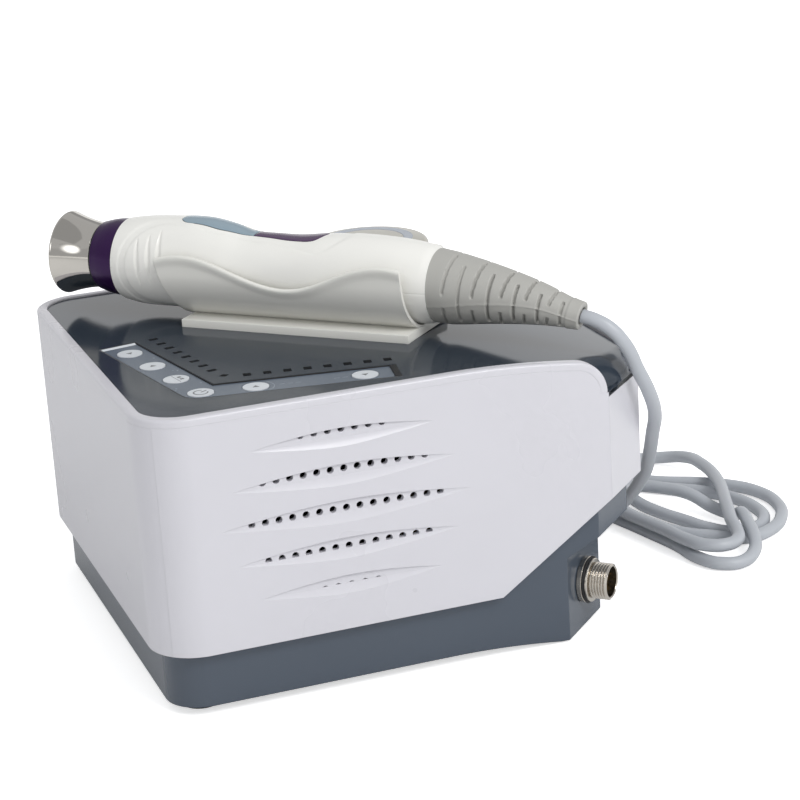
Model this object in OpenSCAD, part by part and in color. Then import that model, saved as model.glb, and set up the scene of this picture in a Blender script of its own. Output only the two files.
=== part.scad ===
// Tabletop facial toning device: a console with a handpiece in its cradle.
// Frame: origin at the middle of the footprint on the table, +X towards the rear,
// +Y towards the far side, +Z up. Millimetres.

/* [Console] */
// Length of the console, front face to rear face
body_l = 267; // [256:1:285]
// Width of the console, side face to side face
body_w = 250; // [240:1:270]
// Height of the rim above the table
body_h = 154; // [148:1:162]
// Outer radius of the two upright front corners
corner_r = 25; // [18:1:30]
// How far each rear corner is cut back along both faces
facet = 30; // [26:1:36]
// Thickness of the white wall panels
wall = 3; // [2.4:0.2:3.6]
// Height of the white panels' lower edge above the table
skirt_z = 34; // [30:1:38]
// Length of the slanted lower edge behind each side panel
slant_run = 61; // [52:1:70]
// Height that the slanted lower edge gains
slant_rise = 41.5; // [36:0.5:46]

/* [Top] */
// Width of the white rim around the grey top
rim_w = 5.6; // [4.6:0.2:7]
// Height of the rim's outer face
rim_h = 4; // [3:0.5:5]
// Radius of the long fall of the top towards the rear
fall_r = 480; // [440:10:560]
// Distance from the front face to where the fall starts
fall_x = 155; // [145:1:165]
// Radius of the side panels' upper rear corners
shoulder_r = 18; // [14:1:22]
// Thickness of the grey top panel
top_t = 2.5; // [2:0.1:3]
// How far the top panel lies below the rim
top_sink = 1; // [0.6:0.1:1.6]

/* [Base] */
// Inset of the base under the white panels
base_in = 6; // [5:0.5:7]
// Wall thickness of the base
base_t = 2.5; // [2:0.1:3]
// Inset of the lower block at the rear face
block_in = 22.4; // [18:0.2:26]
// Inset of the lower block at the cut corners
block_facet_in = 20.8; // [17:0.2:24]
// Ground clearance under the front of the base
ground = 5; // [4:0.5:6]
// Ground clearance under the rear of the base
rear_ground = 1; // [0.8:0.1:1.4]
// Radius of the front feet
foot_r = 11; // [9:0.5:13]
// Distance of the front feet from the front face
foot_x = 24; // [22:1:28]
// Distance of all feet from the side faces
foot_y = 26; // [24:1:32]
// Radius of the rear pads
pad_r = 8; // [6:0.5:9]
// Distance of the rear pads from the rear face
pad_x = 62; // [56:1:68]

/* [Vents] */
// Distance of the vents' middle from the front face
vent_x = 98; // [94:1:104]
// Height of the middle vent above the table
vent_z = 95; // [92:1:98]
// Spacing of the five vents
vent_pitch = 18.8; // [17:0.2:20]
// Length of the middle vent
vent_l = 130; // [115:1:136]
// How much shorter the two vents beside it are
vent_step = 15; // [10:1:18]
// Height of the middle vent at its middle
vent_h = 11.5; // [9:0.5:13]
// Diameter of the vents' holes
hole_d = 3.5; // [3:0.1:4.2]
// Spacing of the vents' holes
hole_pitch = 6.85; // [6:0.05:7.5]

/* [Keypad] */
// Distance of the corner key from both the front and the side face
key_corner = 41; // [38:0.5:44]
// Angle of each key row to its wall
row_angle = 10; // [7:0.5:12]
// Diameter of the keys
key_d = 13; // [11:0.5:14]
// Spacing of the keys in the row along the front
row1_pitch = 28; // [25:0.5:29]
// Spacing of the keys in the row along the side
row2_pitch = 26.8; // [25:0.2:28]
// Width of the recessed key strips
strip_w = 20; // [18:0.5:22]
// Distance of the light rows from the key rows
light_off = 19.5; // [17:0.5:22]
// Spacing of the lights
light_pitch = 10; // [9:0.2:10.4]
// Size of a light window across its row
light_l = 4; // [3:0.2:5]
// Size of a light window along its row
light_w = 2.4; // [2:0.1:3]
// Travel of a key
key_travel = 0.4; // [0.2:0.1:0.5]

/* [Cradle] */
// Distance of the cradle's middle from both the front and the side face
cradle_at = 126.5; // [124:0.5:129]
// Inner half width of the trough
trough_r = 24.7; // [24.6:0.1:25.4]
// Wall of the trough
trough_t = 2; // [1.6:0.1:2.4]
// Front end of the trough, from its middle
trough_front = 78; // [74:1:82]
// Rear end of the trough, from its middle
trough_rear = 64; // [60:1:68]
// Height of the trough's floor above the flat of the top
trough_lift = 4.2; // [3.8:0.1:5]
// Mean height of the trough's waved edge above the flat of the top
wave_mid = 32.2; // [30:0.2:34]
// Height of the wave above and below its mean
wave_amp = 7.3; // [5:0.1:8]
// Half a wave's length
wave_half = 58; // [54:1:62]
// Height of the plinth under the trough
plinth_h = 4.5; // [3.5:0.5:7]

/* [Handpiece] */
// Angle by which the handle's tail dips
tail_dip = 1.4; // [1:0.1:1.8]
// Rim radius of the flared electrode
bell_r = 22.3; // [20:0.1:23.5]
// Neck radius of the flared electrode
neck_r = 17.5; // [16:0.1:18]
// Length of the flared electrode
bell_l = 22.3; // [18:0.1:24]
// Length of the black ring behind it
seal_l = 3.5; // [2.5:0.1:4.5]
// Length of the coloured collar
collar_l = 13; // [11:0.5:15]
// Length of the handle behind the collar
handle_l = 182.4; // [178:0.2:187]
// Length of the strain relief
relief_l = 77; // [70:1:80]
// Wall of the handle's shells
shell_t = 2.2; // [1.8:0.1:2.6]
// Travel of the handle's button
button_travel = 1; // [0.5:0.1:1.2]

/* [Spare head] */
// Distance of the spare head's middle from the handle's line
spare_off = 61; // [60:0.5:66]
// Distance along the handle's line from the cradle's middle
spare_along = 3.5; // [0:0.5:8]
// Radius of the spare head's face
spare_r = 33.4; // [30:0.2:34]
// Height of the spare head's face above the flat of the top
spare_h = 30; // [28:0.5:34]
// Radius of the spare head's stem
stem_r = 14; // [12:0.5:16]

/* [Connectors] */
// Outer radius of the connector's threaded barrel
barrel_r = 9.5; // [9:0.1:10]
// Wall of the threaded barrel
barrel_t = 1.7; // [1.4:0.1:2]
// Length of the connector in front of its panel
barrel_l = 15.5; // [14:0.5:17]
// Radius of the connector's flange
flange_r = 12; // [11.5:0.1:13]
// Height of the connectors above the table
port_z = 26; // [25:0.5:28]
// Running clearance of turning and sliding parts
run_gap = 0.08; // [0.05:0.01:0.1]
// Clearance between fitted parts
fit_gap = 0.2; // [0.15:0.05:0.3]

/* [Cord] */
// Diameter of the handpiece's cord
cord_d = 7.2; // [6.4:0.1:8]

/* [Hidden] */
$fn = 96;
over = 1;              // how far a cutting shape runs past what it cuts
seat = 0.3;            // gap under a piece that is lifted off or pressed
facet_x = body_l - facet;
flat_z = body_h - top_sink;
rear_skirt_z = skirt_z + slant_rise;
lip_h = 3;             // height of the panels' inner lip along their lower edge
top_under = top_sink + top_t;

// ---- Outlines of the console, in a frame with its corner at the virtual front near corner ----

module placed() translate([-body_l / 2, -body_w / 2, 0]) children();
module far_side() translate([0, body_w, 0]) mirror([0, 1, 0]) children();

// Footprint inset by `side` at the front and sides, `cut` at the cut corners and `rear` at the rear
module plan(side, cut, rear) {
    cut_shift = cut * sqrt(2);
    start_x = facet_x - cut_shift + side;
    end_y = facet + cut_shift - rear;
    polygon([[corner_r, side], [start_x, side], [body_l - rear, end_y], [body_l - rear, body_w - end_y],
             [start_x, body_w - side], [corner_r, body_w - side], [side, body_w - corner_r],
             [side, corner_r]]);
    for (y = [corner_r, body_w - corner_r]) translate([corner_r, y]) circle(r = corner_r - side);
}
module ring(outer, inner) difference() { plan(outer, outer, outer); plan(inner, inner, inner); }
// A footprint whose sides run straight on past the cut corners
module open_plan(side) plan(side, -facet, -facet);
module before(x) intersection() {
    children();
    translate([-over, -over]) square([x + over, body_w + 2 * over]);
}
module behind(x) intersection() {
    children();
    translate([x, -over]) square([body_l, body_w + 2 * over]);
}
// A shape drawn in X and Z, drawn out along Y
module across(y0 = -over, y1 = body_w + over)
    translate([0, y1, 0]) rotate([90, 0, 0]) linear_extrude(y1 - y0) children();

// ---- The top's side view: flat, a long fall, then the rounded shoulder ----

fall_steps = 8;
shoulder_x = facet_x - shoulder_r;
shoulder_z = body_h - fall_r + sqrt(pow(fall_r - shoulder_r, 2) - pow(shoulder_x - fall_x, 2));
shoulder_a = acos((shoulder_x - fall_x) / (fall_r - shoulder_r));
function fall_z(x, down) = x <= fall_x ? body_h - down
    : body_h - fall_r + sqrt(pow(fall_r - down, 2) - pow(x - fall_x, 2));
function arc_points(cx, cz, r, a0, a1, n) =
    [for (i = [0:n]) let (a = a0 + (a1 - a0) * i / n) [cx + r * cos(a), cz + r * sin(a)]];
function shoulder_curve(down) = concat([[-over, body_h - down]],
    arc_points(fall_x, body_h - fall_r, fall_r - down, 90, shoulder_a, fall_steps),
    arc_points(shoulder_x, shoulder_z, shoulder_r - down, shoulder_a, 0, fall_steps));
function fall_curve(down) = concat([[-over, body_h - down]],
    [for (i = [0:2 * fall_steps]) let (x = fall_x + (body_l + over - fall_x) * i / (2 * fall_steps))
        [x, fall_z(x, down)]]);
function back(points) = [for (i = [len(points) - 1:-1:0]) points[i]];
// The panels' lower edge: level, slanted behind the sides, level round the rear
function skirt_line(up) = [[-over, skirt_z + up], [facet_x - slant_run, skirt_z + up],
    [facet_x, rear_skirt_z + up], [body_l + over, rear_skirt_z + up]];

// ---- White panels ----

module front_zone()
    polygon([[-over, -over], [corner_r, corner_r], [corner_r, body_w - corner_r], [-over, body_w + over]]);
module near_zone()
    polygon([[-over, -over], [corner_r, corner_r], [facet_x, corner_r], [facet_x, -over]]);

module front_panel() color("whitesmoke") placed() {
    translate([0, 0, skirt_z]) linear_extrude(body_h - rim_h - skirt_z)
        intersection() { ring(0, wall); front_zone(); }
    translate([0, 0, skirt_z]) linear_extrude(lip_h)
        intersection() { ring(wall - 0.5, base_in - fit_gap); front_zone(); }
}

// Vents: five lens-shaped recesses, each with a row of round holes
vent_sink = 1.4;
vent_rows = 2;
vent_above = 0.48;     // share of a vent's height that lies above the line between its tips
lens_steps = 40;
function vent_len(k) = vent_l - vent_step * abs(k) - 6 * max(0, abs(k) - 1);
function bow(t, e) = 1 - (sqrt(t * t + e * e) - e) / (sqrt(1 + e * e) - e);
function brow(t, tall) = vent_above * tall * bow(t, 0.8);
module lens(half_l, tall) polygon(concat(
    [for (i = [0:lens_steps]) let (t = 2 * i / lens_steps - 1) [half_l * t, -brow(t, tall)]],
    [for (i = [lens_steps - 1:-1:1]) let (t = 2 * i / lens_steps - 1)
        [half_l * t, (1 - vent_above) * tall * bow(t, 0.37)]]));
module vents() for (k = [-vent_rows:vent_rows]) {
    half_l = vent_len(k) / 2;
    tall = vent_h * pow(vent_len(k) / vent_l, 0.6);
    row_up = 1.2 * (1 + k);
    holes = floor(0.77 * half_l / hole_pitch);
    translate([vent_x, 0, vent_z + k * vent_pitch]) rotate([-90, 0, 0]) {
        translate([0, 0, -over]) linear_extrude(over + vent_sink) lens(half_l, tall);
        translate([0, 0, -over]) linear_extrude(wall + 2 * over) intersection() {
            lens(half_l, tall);
            for (i = [-holes:holes]) if (brow(i * hole_pitch / half_l, tall) > row_up)
                translate([i * hole_pitch, -row_up]) circle(d = hole_d, $fn = 24);
        }
    }
}
module side_panel() {
    difference() {
        intersection() {
            linear_extrude(body_h) intersection() { ring(0, wall); near_zone(); }
            across(-over, corner_r) polygon(concat([[-over, skirt_z], [facet_x - slant_run, skirt_z],
                [facet_x, rear_skirt_z], [facet_x, shoulder_z]], back(shoulder_curve(rim_h))));
        }
        vents();
    }
    intersection() {
        linear_extrude(body_h) intersection() { ring(wall - 0.5, base_in - fit_gap); near_zone(); }
        across(-over, corner_r) polygon(concat(skirt_line(0), back(skirt_line(lip_h))));
    }
}
module side_panel_near() color("whitesmoke") placed() side_panel();
module side_panel_far() color("whitesmoke") placed() far_side() side_panel();

// Rear panel: both cut corners and the rear face, with the fan's slots
rear_edge_r = 9;
rear_top_z = fall_z(body_l, 0) + 1;
fan_room = 8;          // free height left above and below the fan
fan_t = 15;
fan_z = (rear_skirt_z + rear_top_z) / 2;
fan_size = rear_top_z - rear_skirt_z - 2 * fan_room;
slot_count = 7;
slot_h = 3;
module rear_panel() color("whitesmoke") placed() {
    y_in = facet + rear_edge_r;
    difference() {
        intersection() {
            linear_extrude(body_h) behind(facet_x) ring(0, wall);
            translate([facet_x - over, 0, 0]) rotate([90, 0, 90]) linear_extrude(facet + 2 * over)
                polygon(concat([[-over, rear_skirt_z], [-over, shoulder_z], [facet, shoulder_z]],
                    arc_points(y_in, rear_top_z - rear_edge_r, rear_edge_r, 180, 90, fall_steps),
                    arc_points(body_w - y_in, rear_top_z - rear_edge_r, rear_edge_r, 90, 0, fall_steps),
                    [[body_w - facet, shoulder_z], [body_w + over, shoulder_z],
                     [body_w + over, rear_skirt_z]]));
        }
        for (i = [0:slot_count - 1])
            translate([body_l - wall - over, (body_w - fan_size) / 2 + 3,
                       fan_z + (i - (slot_count - 1) / 2) * fan_size / (slot_count + 1) - slot_h / 2])
                cube([wall + 2 * over, fan_size - 6, slot_h]);
    }
    translate([0, 0, rear_skirt_z]) linear_extrude(lip_h) behind(facet_x) difference() {
        plan(wall - 0.5, wall - 0.5, wall - 0.5);
        plan(base_in - fit_gap, upper_cut_in - fit_gap, base_in - fit_gap);
    }
}

// ---- Rim and top ----

ledge_w = 3;
skirt_x = shoulder_x - 4;    // where the top's upright walls start
ledge_t = 2;
module top_bezel() color("whitesmoke") placed() {
    intersection() {
        linear_extrude(body_h + over) before(facet_x) difference() { open_plan(0); open_plan(rim_w); }
        linear_extrude(body_h + over) plan(0, 0, 0);
        across() polygon(concat(shoulder_curve(0), back(shoulder_curve(rim_h))));
    }
    intersection() {
        linear_extrude(body_h) before(skirt_x - fit_gap) difference() {
            open_plan(wall + fit_gap);
            open_plan(rim_w + ledge_w);
        }
        across() polygon(concat(fall_curve(top_under), back(fall_curve(top_under + ledge_t))));
    }
}

top_in = rim_w + fit_gap;
rear_in = wall + fit_gap;
tail_x = facet_x + fit_gap;
module top_outline() {
    before(tail_x) open_plan(top_in);
    behind(tail_x) plan(0, 0, rear_in);
}
// Upright wall of the top panel beside one shoulder and along one cut corner
module tail_skirt() {
    intersection() {
        plan(0, 0, rear_in);
        union() {
            translate([skirt_x, top_in]) square([tail_x + top_t - skirt_x, top_t]);
            translate([tail_x, 0]) square([top_t, top_in + top_t]);
            behind(tail_x) difference() { plan(0, 0, rear_in); plan(-over, top_t, rear_in - over); }
        }
    }
}
module top_panel() color("slategray") placed() difference() {
    union() {
        intersection() {
            linear_extrude(body_h) top_outline();
            across() polygon(concat(fall_curve(top_sink), back(fall_curve(top_under))));
        }
        intersection() {
            linear_extrude(body_h) union() {
                intersection() { tail_skirt(); square([2 * body_l, body_w / 2]); }
                translate([0, body_w]) mirror([0, 1]) intersection() {
                    tail_skirt();
                    square([2 * body_l, body_w / 2]);
                }
            }
            across() polygon(concat(fall_curve(top_sink + top_t / 2),
                [[body_l + over, shoulder_z + fit_gap], [-over, shoulder_z + fit_gap]]));
        }
    }
    translate([0, 0, flat_z - overlay_sink]) linear_extrude(over + overlay_sink) strips(fit_gap);
    each_key() {
        translate([0, 0, flat_z - key_pocket]) cylinder(d = key_d + 2 * fit_gap, h = key_pocket + over);
        translate([0, 0, flat_z - top_t - over]) cylinder(r = key_stem_r + fit_gap, h = top_t + over);
    }
    each_light() translate([0, 0, flat_z - top_t - over])
        linear_extrude(top_t + 2 * over) square([light_w + fit_gap, light_l + fit_gap], center = true);
}

// ---- Keypad: two key rows that meet over the front near corner ----

overlay_sink = 1.2;
overlay_t = 0.5;
key_pocket = 2;
key_t = 1;
key_proud = -0.4;      // the keys' faces lie a little under the flat of the top
key_stem_r = 2.5;
key_stem_l = 2.4;
strip1_l = 3 * row1_pitch + 15.5;
strip2_l = 3 * row2_pitch + 14;
board_z = flat_z - top_t - 4.6;
board_t = 1.6;
light_count = 8;
strip_steps = 6;       // flats that round the corner of the strips
module row1() translate([key_corner, key_corner, 0]) rotate([0, 0, 90 + row_angle]) children();
module row2() translate([key_corner, key_corner, 0]) rotate([0, 0, -row_angle]) children();
function along(a, x, y) = [x * cos(a) - y * sin(a), x * sin(a) + y * cos(a)];
module strips(grow) {
    r = strip_w / 2 + grow;
    inner = r / cos(45 - row_angle) * sqrt(0.5);
    translate([key_corner, key_corner]) polygon(concat(
        arc_points(0, 0, r, 270 - row_angle, 180 + row_angle, strip_steps),
        [along(90 + row_angle, strip1_l + grow, r), along(90 + row_angle, strip1_l + grow, -r),
         [inner, inner],
         along(-row_angle, strip2_l + grow, r), along(-row_angle, strip2_l + grow, -r)]));
}
module each_key() {
    translate([key_corner, key_corner, 0]) children();
    for (i = [1:3]) row1() translate([i * row1_pitch, 0, 0]) children();
    for (i = [1, 3]) row2() translate([i * row2_pitch, 0, 0]) children();
}
module each_light() {
    for (i = [0:light_count - 1]) {
        row1() translate([row1_pitch + i * light_pitch, -light_off, 0]) children();
        row2() translate([row2_pitch - 2 + i * light_pitch, light_off, 0]) children();
    }
}
module keypad_overlay() color("dimgray") placed() difference() {
    translate([0, 0, flat_z - overlay_sink]) linear_extrude(overlay_t) strips(0);
    each_key() translate([0, 0, flat_z - top_t]) cylinder(d = key_d + 2 * fit_gap, h = 2 * top_t);
}
module key() color("lightgray") {
    translate([0, 0, flat_z + key_proud - key_t]) cylinder(d = key_d, h = key_t);
    translate([0, 0, flat_z + key_proud - key_t - key_stem_l]) cylinder(r = key_stem_r, h = key_stem_l);
}
module key_power() placed() translate([key_corner, key_corner, 0]) key();
module key_mode() placed() row1() translate([row1_pitch, 0, 0]) key();
module key_time_up() placed() row1() translate([2 * row1_pitch, 0, 0]) key();
module key_time_down() placed() row1() translate([3 * row1_pitch, 0, 0]) key();
module key_level_down() placed() row2() translate([row2_pitch, 0, 0]) key();
module key_level_up() placed() row2() translate([3 * row2_pitch, 0, 0]) key();
module light_windows() color("black") placed() each_light()
    translate([-light_w / 2, -light_l / 2, flat_z - top_t + fit_gap])
        cube([light_w, light_l, top_t - fit_gap]);
module indicator_lights() color("red") placed() each_light()
    translate([-light_w / 2, -light_w / 2, board_z]) cube([light_w, light_w, flat_z - top_t - board_z]);

// Board under the keypad: a switch under each key, hung from the top panel's underside
switch_gap = key_travel + 0.05;
board_half = 9;
board_in = 27;
module display_board() color("darkgreen") placed() {
    translate([0, 0, board_z - board_t]) linear_extrude(board_t) {
        row1() translate([-board_half, -board_in]) square([strip1_l + board_half, board_half + board_in]);
        row2() translate([-board_half, -board_half]) square([strip2_l + board_half, board_half + board_in]);
    }
    each_key() translate([0, 0, board_z])
        cylinder(r = 2, h = flat_z + key_proud - key_t - key_stem_l - switch_gap - board_z);
    for (x = [14, 70]) {
        row1() translate([x, -board_half, board_z]) cylinder(r = 2.4, h = flat_z - top_t - board_z);
        row2() translate([x, board_half, board_z]) cylinder(r = 2.4, h = flat_z - top_t - board_z);
    }
}

// ---- Base ----

upper_cut_in = 8;
notch_low = 45.5;
notch_high = 54.5;
rear_notch_high = notch_high - 1;
dip_x = 150;
dip_l = 59;
dip_r = (dip_l * dip_l + pow(ground - rear_ground, 2)) / (2 * (ground - rear_ground));
base_lip = 5;          // how far the base rises inside the white panels
base_floor = ground + base_t;
block_start = facet_x - block_facet_in * sqrt(2) + base_in;
block_end_y = facet + block_facet_in * sqrt(2) - block_in;
port_x = (block_start + body_l - block_in) / 2;
port_y = (base_in + block_end_y) / 2;
dip_a = asin(dip_l / dip_r);
// Frame on a cut corner of the lower block: +Z out of the panel, 0 at its outer face
module at_port() translate([port_x, port_y, port_z]) rotate([0, 0, -45]) rotate([0, 90, 0]) children();
module at_rear(y, z) translate([body_l - block_in, y, z]) rotate([0, 90, 0]) children();
inlet_y = body_w / 2;
inlet_z = 24;
inlet_w = 47;
inlet_h = 22;
rocker_y = body_w / 2 - 46;
rocker_w = 11;
rocker_h = 17;
fuse_y = body_w / 2 + 44;
fuse_r = 6.5;
standoff_h = 8;
// Space under the overhang of the cut corners and the rear, drawn outward from a face
module undercut(block, upper, high, inset, length) rotate([90, 0, 0]) linear_extrude(length, center = true)
    polygon([[-block - inset, -over], [-block - inset, notch_low], [-upper - inset, high + inset],
        [facet, high + inset], [facet, -over]]);
module base_body(inset) difference() {
    linear_extrude(2 * body_h) plan(base_in + inset, upper_cut_in + inset, base_in + inset);
    translate([body_l, body_w / 2, 0]) undercut(block_in, base_in - over, rear_notch_high, inset, 2 * body_w);
    for (side = [0, 1]) translate([0, side * body_w, 0]) mirror([0, side, 0])
        translate([facet_x + facet / 2, facet / 2, 0]) rotate([0, 0, -45])
            undercut(block_facet_in, upper_cut_in - over, notch_high, inset, 4 * facet);
}
module base_tray() color([0.33, 0.38, 0.43]) placed() difference() {
    union() {
        difference() {
            base_body(0);
            translate([0, 0, base_floor]) base_body(base_t);
            across() polygon(concat(skirt_line(base_lip),
                [[body_l + over, 2 * body_h], [-over, 2 * body_h]]));
        }
        for (p = standoffs) translate([p[0], p[1], base_floor - 0.5]) cylinder(r = 4, h = standoff_h + 0.5);
        for (y = [foot_y, body_w - foot_y])
            translate([foot_x, y, base_floor - 0.5]) cylinder(r = 4, h = 9);
    }
    across() polygon(concat([[-over, -over], [-over, ground], [dip_x, ground]],
        [for (i = [1:fall_steps]) let (a = dip_a * i / fall_steps)
            [dip_x + dip_r * sin(a), ground - dip_r * (1 - cos(a))]],
        [[body_l + over, rear_ground], [body_l + over, -over]]));
    for (y = [foot_y, body_w - foot_y]) {
        translate([foot_x, y, 0]) cylinder(r = 1.7, h = 2 * ground + 4);
        translate([body_l - pad_x, y, 0]) cylinder(r = pad_r + fit_gap, h = pad_h);
    }
    at_port() translate([0, 0, -2 * base_t]) cylinder(r = barrel_r + 0.1, h = 4 * base_t);
    far_side() at_port() translate([0, 0, -2 * base_t]) cylinder(r = barrel_r + 0.1, h = 4 * base_t);
    at_rear(inlet_y, inlet_z) cube([inlet_h + 2 * fit_gap, inlet_w + 2 * fit_gap, 4 * base_t], center = true);
    at_rear(rocker_y, inlet_z) cube([rocker_h + 5, rocker_w + 5, 4 * base_t], center = true);
    at_rear(fuse_y, inlet_z) cylinder(r = fuse_r + fit_gap, h = 4 * base_t, center = true);
}

// ---- Feet ----

pad_h = 3;
module front_feet() color("black") placed() for (y = [foot_y, body_w - foot_y])
    translate([foot_x, y, 0]) difference() {
        union() {
            cylinder(r1 = foot_r - 1, r2 = foot_r, h = 1);
            translate([0, 0, 1]) cylinder(r = foot_r, h = ground - 1);
        }
        translate([0, 0, -over]) cylinder(r = 4.4, h = over + 3);
        cylinder(r = 1.8, h = 2 * ground);
    }
module foot_screws() color("silver") placed() for (y = [foot_y, body_w - foot_y])
    translate([foot_x, y, 0]) {
        translate([0, 0, 1.2]) cylinder(r = 3.8, h = 1.8);
        translate([0, 0, 2.9]) cylinder(r = 1.55, h = 9);
    }
module rear_pads() color("black") placed() for (y = [foot_y, body_w - foot_y])
    translate([body_l - pad_x, y, 0]) cylinder(r = pad_r, h = pad_h);

// ---- Connectors: a round port on one cut corner, the handpiece's socket on the other ----

gasket_t = 1.2;
flange_t = 2;
barrel_end = barrel_l;
bore_r = barrel_r - barrel_t;
thread_l = 10;
insert_top = gasket_t + 1.3;
pin_r = 0.8;
pin_l = 6;
pin_ring = 4.6;
nut_t = 2.5;
module gasket() color("black") difference() {
    cylinder(r = flange_r + 0.4, h = gasket_t);
    translate([0, 0, -over]) cylinder(r = barrel_r + 0.05, h = gasket_t + 2 * over);
}
module barrel() color("silver") difference() {
    union() {
        translate([0, 0, -thread_l]) cylinder(r = barrel_r, h = thread_l + barrel_end);
        translate([0, 0, gasket_t]) cylinder(r = flange_r, h = flange_t);
    }
    translate([0, 0, -thread_l - over]) cylinder(r = bore_r, h = thread_l + barrel_end + 2 * over);
}
module lock_nut() color("silver") translate([0, 0, -base_t - nut_t]) difference() {
    cylinder(r = 13.5, h = nut_t, $fn = 6);
    translate([0, 0, -over]) cylinder(r = barrel_r + 0.05, h = nut_t + 2 * over);
}
module each_pin() for (i = [0:4]) rotate([0, 0, 72 * i]) translate([pin_ring, 0, 0]) children();
module insert() difference() {
    translate([0, 0, -8]) cylinder(r = bore_r, h = 8 + insert_top);
    each_pin() translate([0, 0, -9]) cylinder(r = pin_r, h = 20, $fn = 24);
}
module pins() each_pin() translate([0, 0, -11]) cylinder(r = pin_r, h = 11 + insert_top + pin_l, $fn = 24);
module port_barrel() placed() at_port() barrel();
module port_gasket() placed() at_port() gasket();
module port_nut() placed() at_port() lock_nut();
module port_insert() color("black") placed() at_port() insert();
module port_pins() color("gold") placed() at_port() pins();
module socket_barrel() placed() far_side() at_port() barrel();
module socket_gasket() placed() far_side() at_port() gasket();
module socket_nut() placed() far_side() at_port() lock_nut();
module socket_insert() color("black") placed() far_side() at_port() { insert(); pins(); }

// Plug on the handpiece's cord: its front end goes into the socket's bore
plug_neck_r = 8;
nut_inner = barrel_r + run_gap;
nut_outer = flange_r - 0.4;
nut_start = gasket_t + flange_t + seat;
plug_flange = 2;
nut_lip = barrel_end + plug_flange + seat;
nut_end = nut_lip + 2;
plug_r = 10.5;
plug_l = 24;
boot_l = 8;
plug_end = nut_end + seat + plug_l + boot_l;
module plug_body() color("dimgray") placed() far_side() at_port() difference() {
    union() {
        translate([0, 0, insert_top + seat]) cylinder(r = bore_r - seat, h = nut_end - insert_top);
        translate([0, 0, barrel_end]) cylinder(r = nut_inner - seat, h = plug_flange);
        translate([0, 0, barrel_end]) cylinder(r = plug_neck_r, h = nut_end + 2 * seat - barrel_end);
        translate([0, 0, nut_end + seat]) cylinder(r = plug_r, h = plug_l);
        translate([0, 0, nut_end + seat + plug_l - 0.01])
            cylinder(r1 = plug_r - 1.5, r2 = cord_d / 2 + 1.8, h = boot_l + 0.01, $fn = 48);
    }
    each_pin() cylinder(r = pin_r + fit_gap, h = insert_top + pin_l + 0.5, $fn = 24);
}
module plug_nut() color("silver") placed() far_side() at_port() difference() {
    translate([0, 0, nut_start]) cylinder(r = nut_outer, h = nut_end - nut_start);
    translate([0, 0, nut_start - over]) cylinder(r = nut_inner, h = nut_lip - nut_start + over);
    cylinder(r = plug_neck_r + seat, h = nut_end + over);
}

// ---- Mains parts in the rear of the lower block ----

module mains_inlet() color("black") placed() at_rear(inlet_y, inlet_z) {
    difference() {
        union() {
            translate([0, 0, 1]) cube([inlet_h + 3, inlet_w + 14, 2], center = true);
            translate([0, 0, -10]) cube([inlet_h, inlet_w, 20.1], center = true);
        }
        translate([0, 0, -5.5]) cube([inlet_h - 6, inlet_w - 5, 17], center = true);
    }
    for (y = [-7, 0, 7]) translate([y == 0 ? 2.5 : -2.5, y, -8.5]) cube([2, 4, 11.1], center = true);
}
pivot_in = 4;
rocker_r = rocker_h / 2 - 0.5;
module switch_frame() color("black") placed() at_rear(rocker_y, inlet_z) difference() {
    union() {
        translate([0, 0, 0.8]) cube([rocker_h + 8, rocker_w + 8, 1.6], center = true);
        translate([0, 0, -7.5]) cube([rocker_h + 4.6, rocker_w + 4.6, 15.1], center = true);
    }
    translate([0, 0, -pivot_in]) rotate([90, 0, 0])
        cylinder(r = rocker_r + seat, h = rocker_w + 2 * seat, center = true);
}
rocker_tilt = 10;
module power_rocker() color("firebrick") placed() at_rear(rocker_y, inlet_z)
    translate([0, 0, -pivot_in]) rotate([90, 0, 0]) rotate([0, 0, rocker_tilt]) intersection() {
        cylinder(r = rocker_r, h = rocker_w, center = true);
        linear_extrude(rocker_w, center = true) polygon([[-rocker_h, -rocker_h], [rocker_h, -rocker_h],
            [rocker_h, 7.4], [0, 6], [-rocker_h, 7.4]]);
    }
module fuse_holder() color("black") placed() at_rear(fuse_y, inlet_z) difference() {
    union() {
        cylinder(r = fuse_r + 2.5, h = 2);
        translate([0, 0, -25]) cylinder(r = fuse_r, h = 26);
    }
    translate([0, 0, -22]) cylinder(r = fuse_r - 1.7, h = 30);
}
module fuse_cap() color("black") placed() at_rear(fuse_y, inlet_z) difference() {
    union() {
        translate([0, 0, -8]) cylinder(r = fuse_r - 1.7 - seat, h = 12);
        translate([0, 0, 2 + seat]) cylinder(r = fuse_r - 0.5, h = 5);
    }
    translate([0, 0, 5.8 + seat]) cube([9, 1.4, 3], center = true);
}

// ---- Inside the console ----

coil_r = 30;
coil_x = body_l - 77;
board_low = base_floor + standoff_h;
board_x = 40;          // room in front of both boards
board_l = coil_x - coil_r - 10 - board_x;
main_side = 40;        // room beside the main board
rf_side = 25;          // room beside the other board
rf_w = 60;
rf_y = body_w - rf_side - rf_w;
main_w = rf_y - 15 - main_side;
board_edge = 8;        // from a board's edge to its standoffs
standoffs = [for (x = [board_x + board_edge, board_x + board_l - board_edge],
                  y = [main_side + board_edge, main_side + main_w - board_edge,
                       rf_y + board_edge, rf_y + rf_w - board_edge]) [x, y]];
module main_board() color("darkgreen") placed() translate([board_x, main_side, board_low]) {
    cube([board_l, main_w, board_t]);
    translate([0.27 * board_l, 0.18 * main_w, board_t]) cube([22, 22, 3]);
    for (part = [0.64, 0.8]) translate([part * board_l, 0.27 * main_w, board_t]) cylinder(r = 6, h = 18);
    translate([0.13 * board_l, 0.73 * main_w, board_t]) cube([40, 8, 9]);
}
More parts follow.
